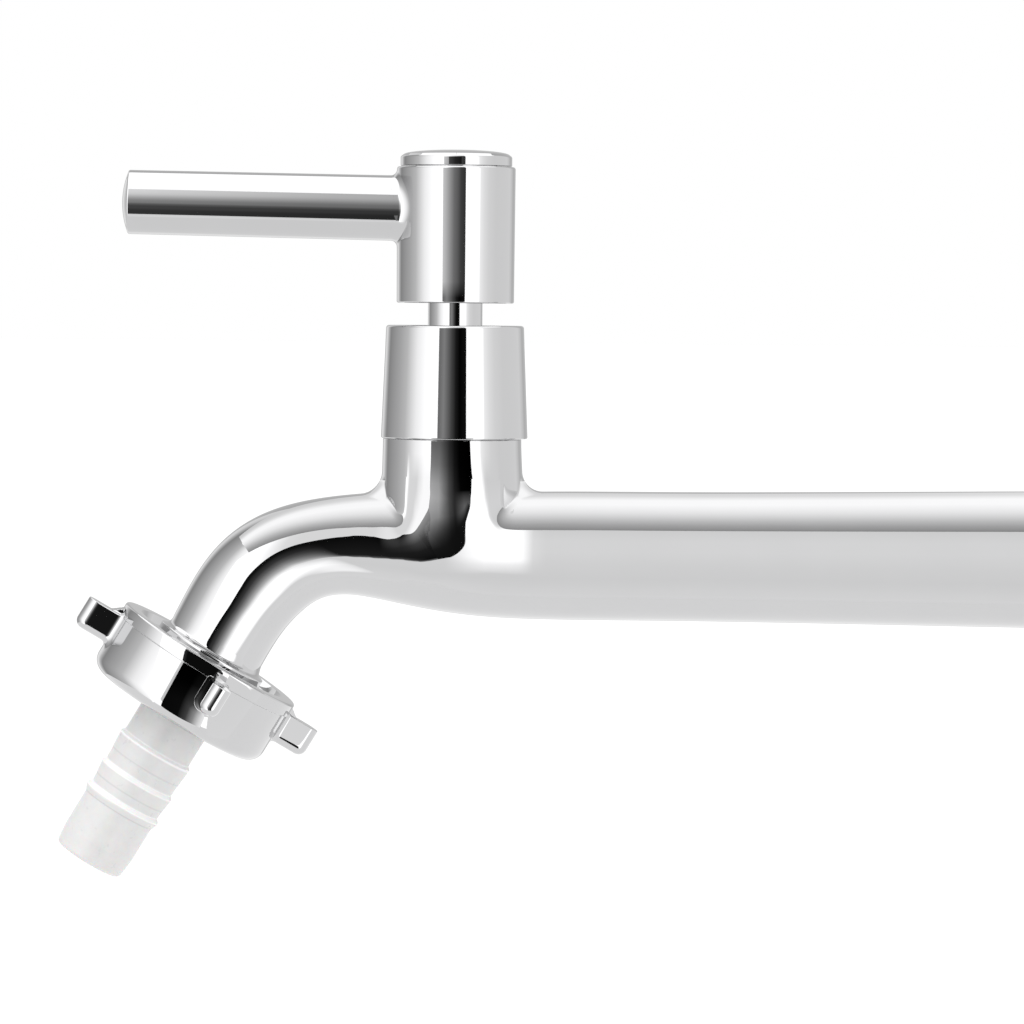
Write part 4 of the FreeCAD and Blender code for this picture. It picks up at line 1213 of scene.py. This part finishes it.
front_card("spout_ribbon", [e + l for e, l in zip(EDGE, LIGHT)], ribbon_build, [i / (len(EDGE) - 1) for i in range(len(EDGE))])
# bright run beside the ribbon where the spout turns down
FRONT_Y += 0.1
_in = [(-36.6, -19.6), (-34.8, -16.4), (-33.5, -14.1), (-31.6, -11.8), (-30.1, -8.9), (-27.6, -6.0), (-24.6, -4.7), (-22.0, -4.5)]
_out = [(-29.0, -26.0), (-24.0, -24.0), (-20.5, -22.0), (-18.5, -19.0), (-18.5, -15.5), (-19.0, -11.5), (-19.6, -8.0), (-20.4, -5.5)]
front_card("bend_light", [a + b for a, b in zip(spline(_in), spline(_out))],
           lambda t, u, v: (curve(t, v, [(0.0, 1.6), (0.08, 1.9), (0.72, 1.9), (1.0, 1.12)]), curve(t, u, [(0.0, 1.0), (0.75, 1.0), (1.0, 0.1)])),
           [i / (5 * (len(_in) - 1)) for i in range(5 * (len(_in) - 1) + 1)])
FRONT_Y -= 0.1
# the dark shape's foot on the tower, fading out upwards
_top = spline([(-8.2, 4.2), (-5.6, 4.6), (-3.2, 4.9), (-0.6, 5.1), (1.6, 5.6), (3.6, 6.6), (5.0, 8.0)])
_low = spline([(-3.2, -1.8), (-1.6, -1.35), (-0.6, -0.95), (1.25, 0.65), (2.85, 2.6), (4.5, 4.75), (5.9, 7.0)])
front_card("saddle_dark", [a + b for a, b in zip(_low, _top)],
           lambda t, u, v: (0.008, curve(t, v, [(0.0, 0.97), (0.3, 0.93), (0.6, 0.55), (1.0, 0.0)])), [i / 30 for i in range(31)])

def tower_card(t, u, v):
    X = lambda x: deg(x, -11.1, 9.0)
    Z = lambda z: deg(z, -4.0, 19.0)
    across = curve(t, u, [(0.0, 0.36), (X(-8.9), 0.33), (X(-6.15), 0.30), (X(-3.7), 0.16), (X(-1.34), 0.055), (X(1.0), 0.012), (X(3.4), 0.001), (1.0, 0.0)])
    down = curve(t, v, [(0.0, 0.05), (Z(-1), 0.4), (Z(2.1), 1.2), (Z(4.5), 1.7), (Z(7.1), 2.0), (Z(10.5), 1.75), (Z(14.4), 1.0), (Z(18), 0.65), (1.0, 0.6)])
    soft = times(t, curve(t, u, [(0.0, 0.0), (X(0.5), 0.0), (X(4.5), 0.22), (X(6.5), 0.20), (1.0, 0.10)]),
                 curve(t, v, [(0.0, 0.0), (Z(0.0), 0.35), (Z(3.0), 1.0), (Z(5.5), 0.8), (Z(9.0), 0.0), (1.0, 0.0)]))
    return plus(t, times(t, across, down), soft), 1.0


card("tower_front", [(-11.1, -22.0, -4.0), (12.6, -22.0, -4.0), (9.0, -22.0, 19.75), (-11.1, -22.0, 19.75)], tower_card)
# light under the lever, seen from above only
card("lever_light", [(-68.0, 3.0, 50.0), (-9.6, 3.0, 50.0), (-9.6, -10.0, 50.0), (-68.0, -10.0, 50.0)], lambda t, u, v: (1.0, from_below(t)))
card("cap_front", [(-5.6, -26.0, 66.45), (4.3, -26.0, 66.45), (4.3, -26.0, 69.2), (-5.6, -26.0, 69.2)],
     lambda t, u, v: (curve(t, u, [(0.0, 0.10), (0.5, 0.03), (1.0, 0.012)]), 1.0))
# the cover, the stem and the foot of the hub; fades out up the hub
card("cover_front", [(-11.4, -30.0, 19.3), (8.2, -30.0, 19.3), (8.2, -30.0, 46.5), (-11.4, -30.0, 46.5)],
     lambda t, u, v: (curve(t, u, [(0.0, 0.24), (0.077, 0.26), (0.219, 0.345), (0.362, 0.205), (0.495, 0.085), (0.633, 0.016), (0.77, 0.002), (0.903, 0.006), (1.0, 0.006)]),
                      curve(t, v, [(0.0, 1.0), (0.90, 1.0), (1.0, 0.0)])))


# the dark patch on the front of the union nut
def nut_patch(t, u, v):
    side = curve(t, u, [(0.0, 0.004), (0.40, 0.006), (0.58, 0.08), (0.74, 0.42), (0.9, 1.1), (1.0, 1.4)])
    end = curve(t, v, [(0.0, 1.0), (0.35, 1.0), (0.75, 0.12), (1.0, 0.05)])
    return times(t, side, end), 1.0


def on_outlet_plane(s_, t_, y):
    return (OUT_U + CA * s_ - SA * t_, y, OUT_W - SA * s_ - CA * t_)


def outlet_quad(name, corners, build, y=-16.9):
    """Card on a plane in front of the nut: corners (s, t) across and along the outlet axis."""
    card(name, [on_outlet_plane(a, b, y) for a, b in corners], build)


outlet_quad("nut_patch", [(-2.6, 12.2), (6.3, 12.2), (4.6, 3.0), (-3.2, 3.0)], nut_patch)
outlet_quad("nut_rim_patch", [(-3.4, 2.95), (3.0, 2.95), (3.6, 0.4), (-4.4, 0.4)], lambda t, u, v: (curve(t, u, [(0.0, 0.05), (0.1, 0.006), (0.9, 0.006), (1.0, 0.1)]), 1.0))

# floor: plain and pale
floor = sheet_mesh("floor", [(-30, -0.45, -0.42), (30, -0.45, -0.42), (30, 60, -0.42), (-30, 60, -0.42)])
fm, ft, fb = nt("floor_pale")
ftc = node(ft, "ShaderNodeTexCoord").outputs["Object"]
ff = noise(ft, ftc, 3.0, 3.0)
ft.links.new(mix(ft, ff, (0.90, 0.90, 0.90, 1), (0.92, 0.92, 0.92, 1)), fb.inputs["Base Color"])
fb.inputs["Roughness"].default_value = 0.9
fb.inputs["Specular IOR Level"].default_value = 0.0
floor.data.materials.append(fm)

sun = bpy.data.lights.new("key", "SUN")
sun.energy = 0.75
sun.angle = math.radians(40)
sun.specular_factor = 0.0
so = bpy.data.objects.new("key", sun)
so.rotation_euler = (math.radians(28), math.radians(-18), 0)
SC.collection.objects.link(so)

# ------------------------------------------------------------------ camera
cam = bpy.data.cameras.new("camera")
cam.sensor_width = 36.0
F_PX = 5530.0
cam.lens = 36.0 * F_PX / 1024.0
cam.clip_start, cam.clip_end = 0.05, 100.0
cam_ob = bpy.data.objects.new("camera", cam)
SC.collection.objects.link(cam_ob)
pitch, yaw, roll_deg = math.atan((512 - 302) / F_PX), 0.0, 0.5
fwd = Vector((math.sin(yaw) * math.cos(pitch), math.cos(yaw) * math.cos(pitch), -math.sin(pitch)))
cam_ob.rotation_mode = "QUATERNION"
cam_ob.rotation_quaternion = Quaternion(fwd, math.radians(-roll_deg)) @ fwd.to_track_quat("-Z", "Y")
cam_ob.location = (-0.1018 - 0.0002, -0.9456, 0.0430 + 0.00028)
SC.camera = cam_ob
SC.view_settings.view_transform = "Standard"
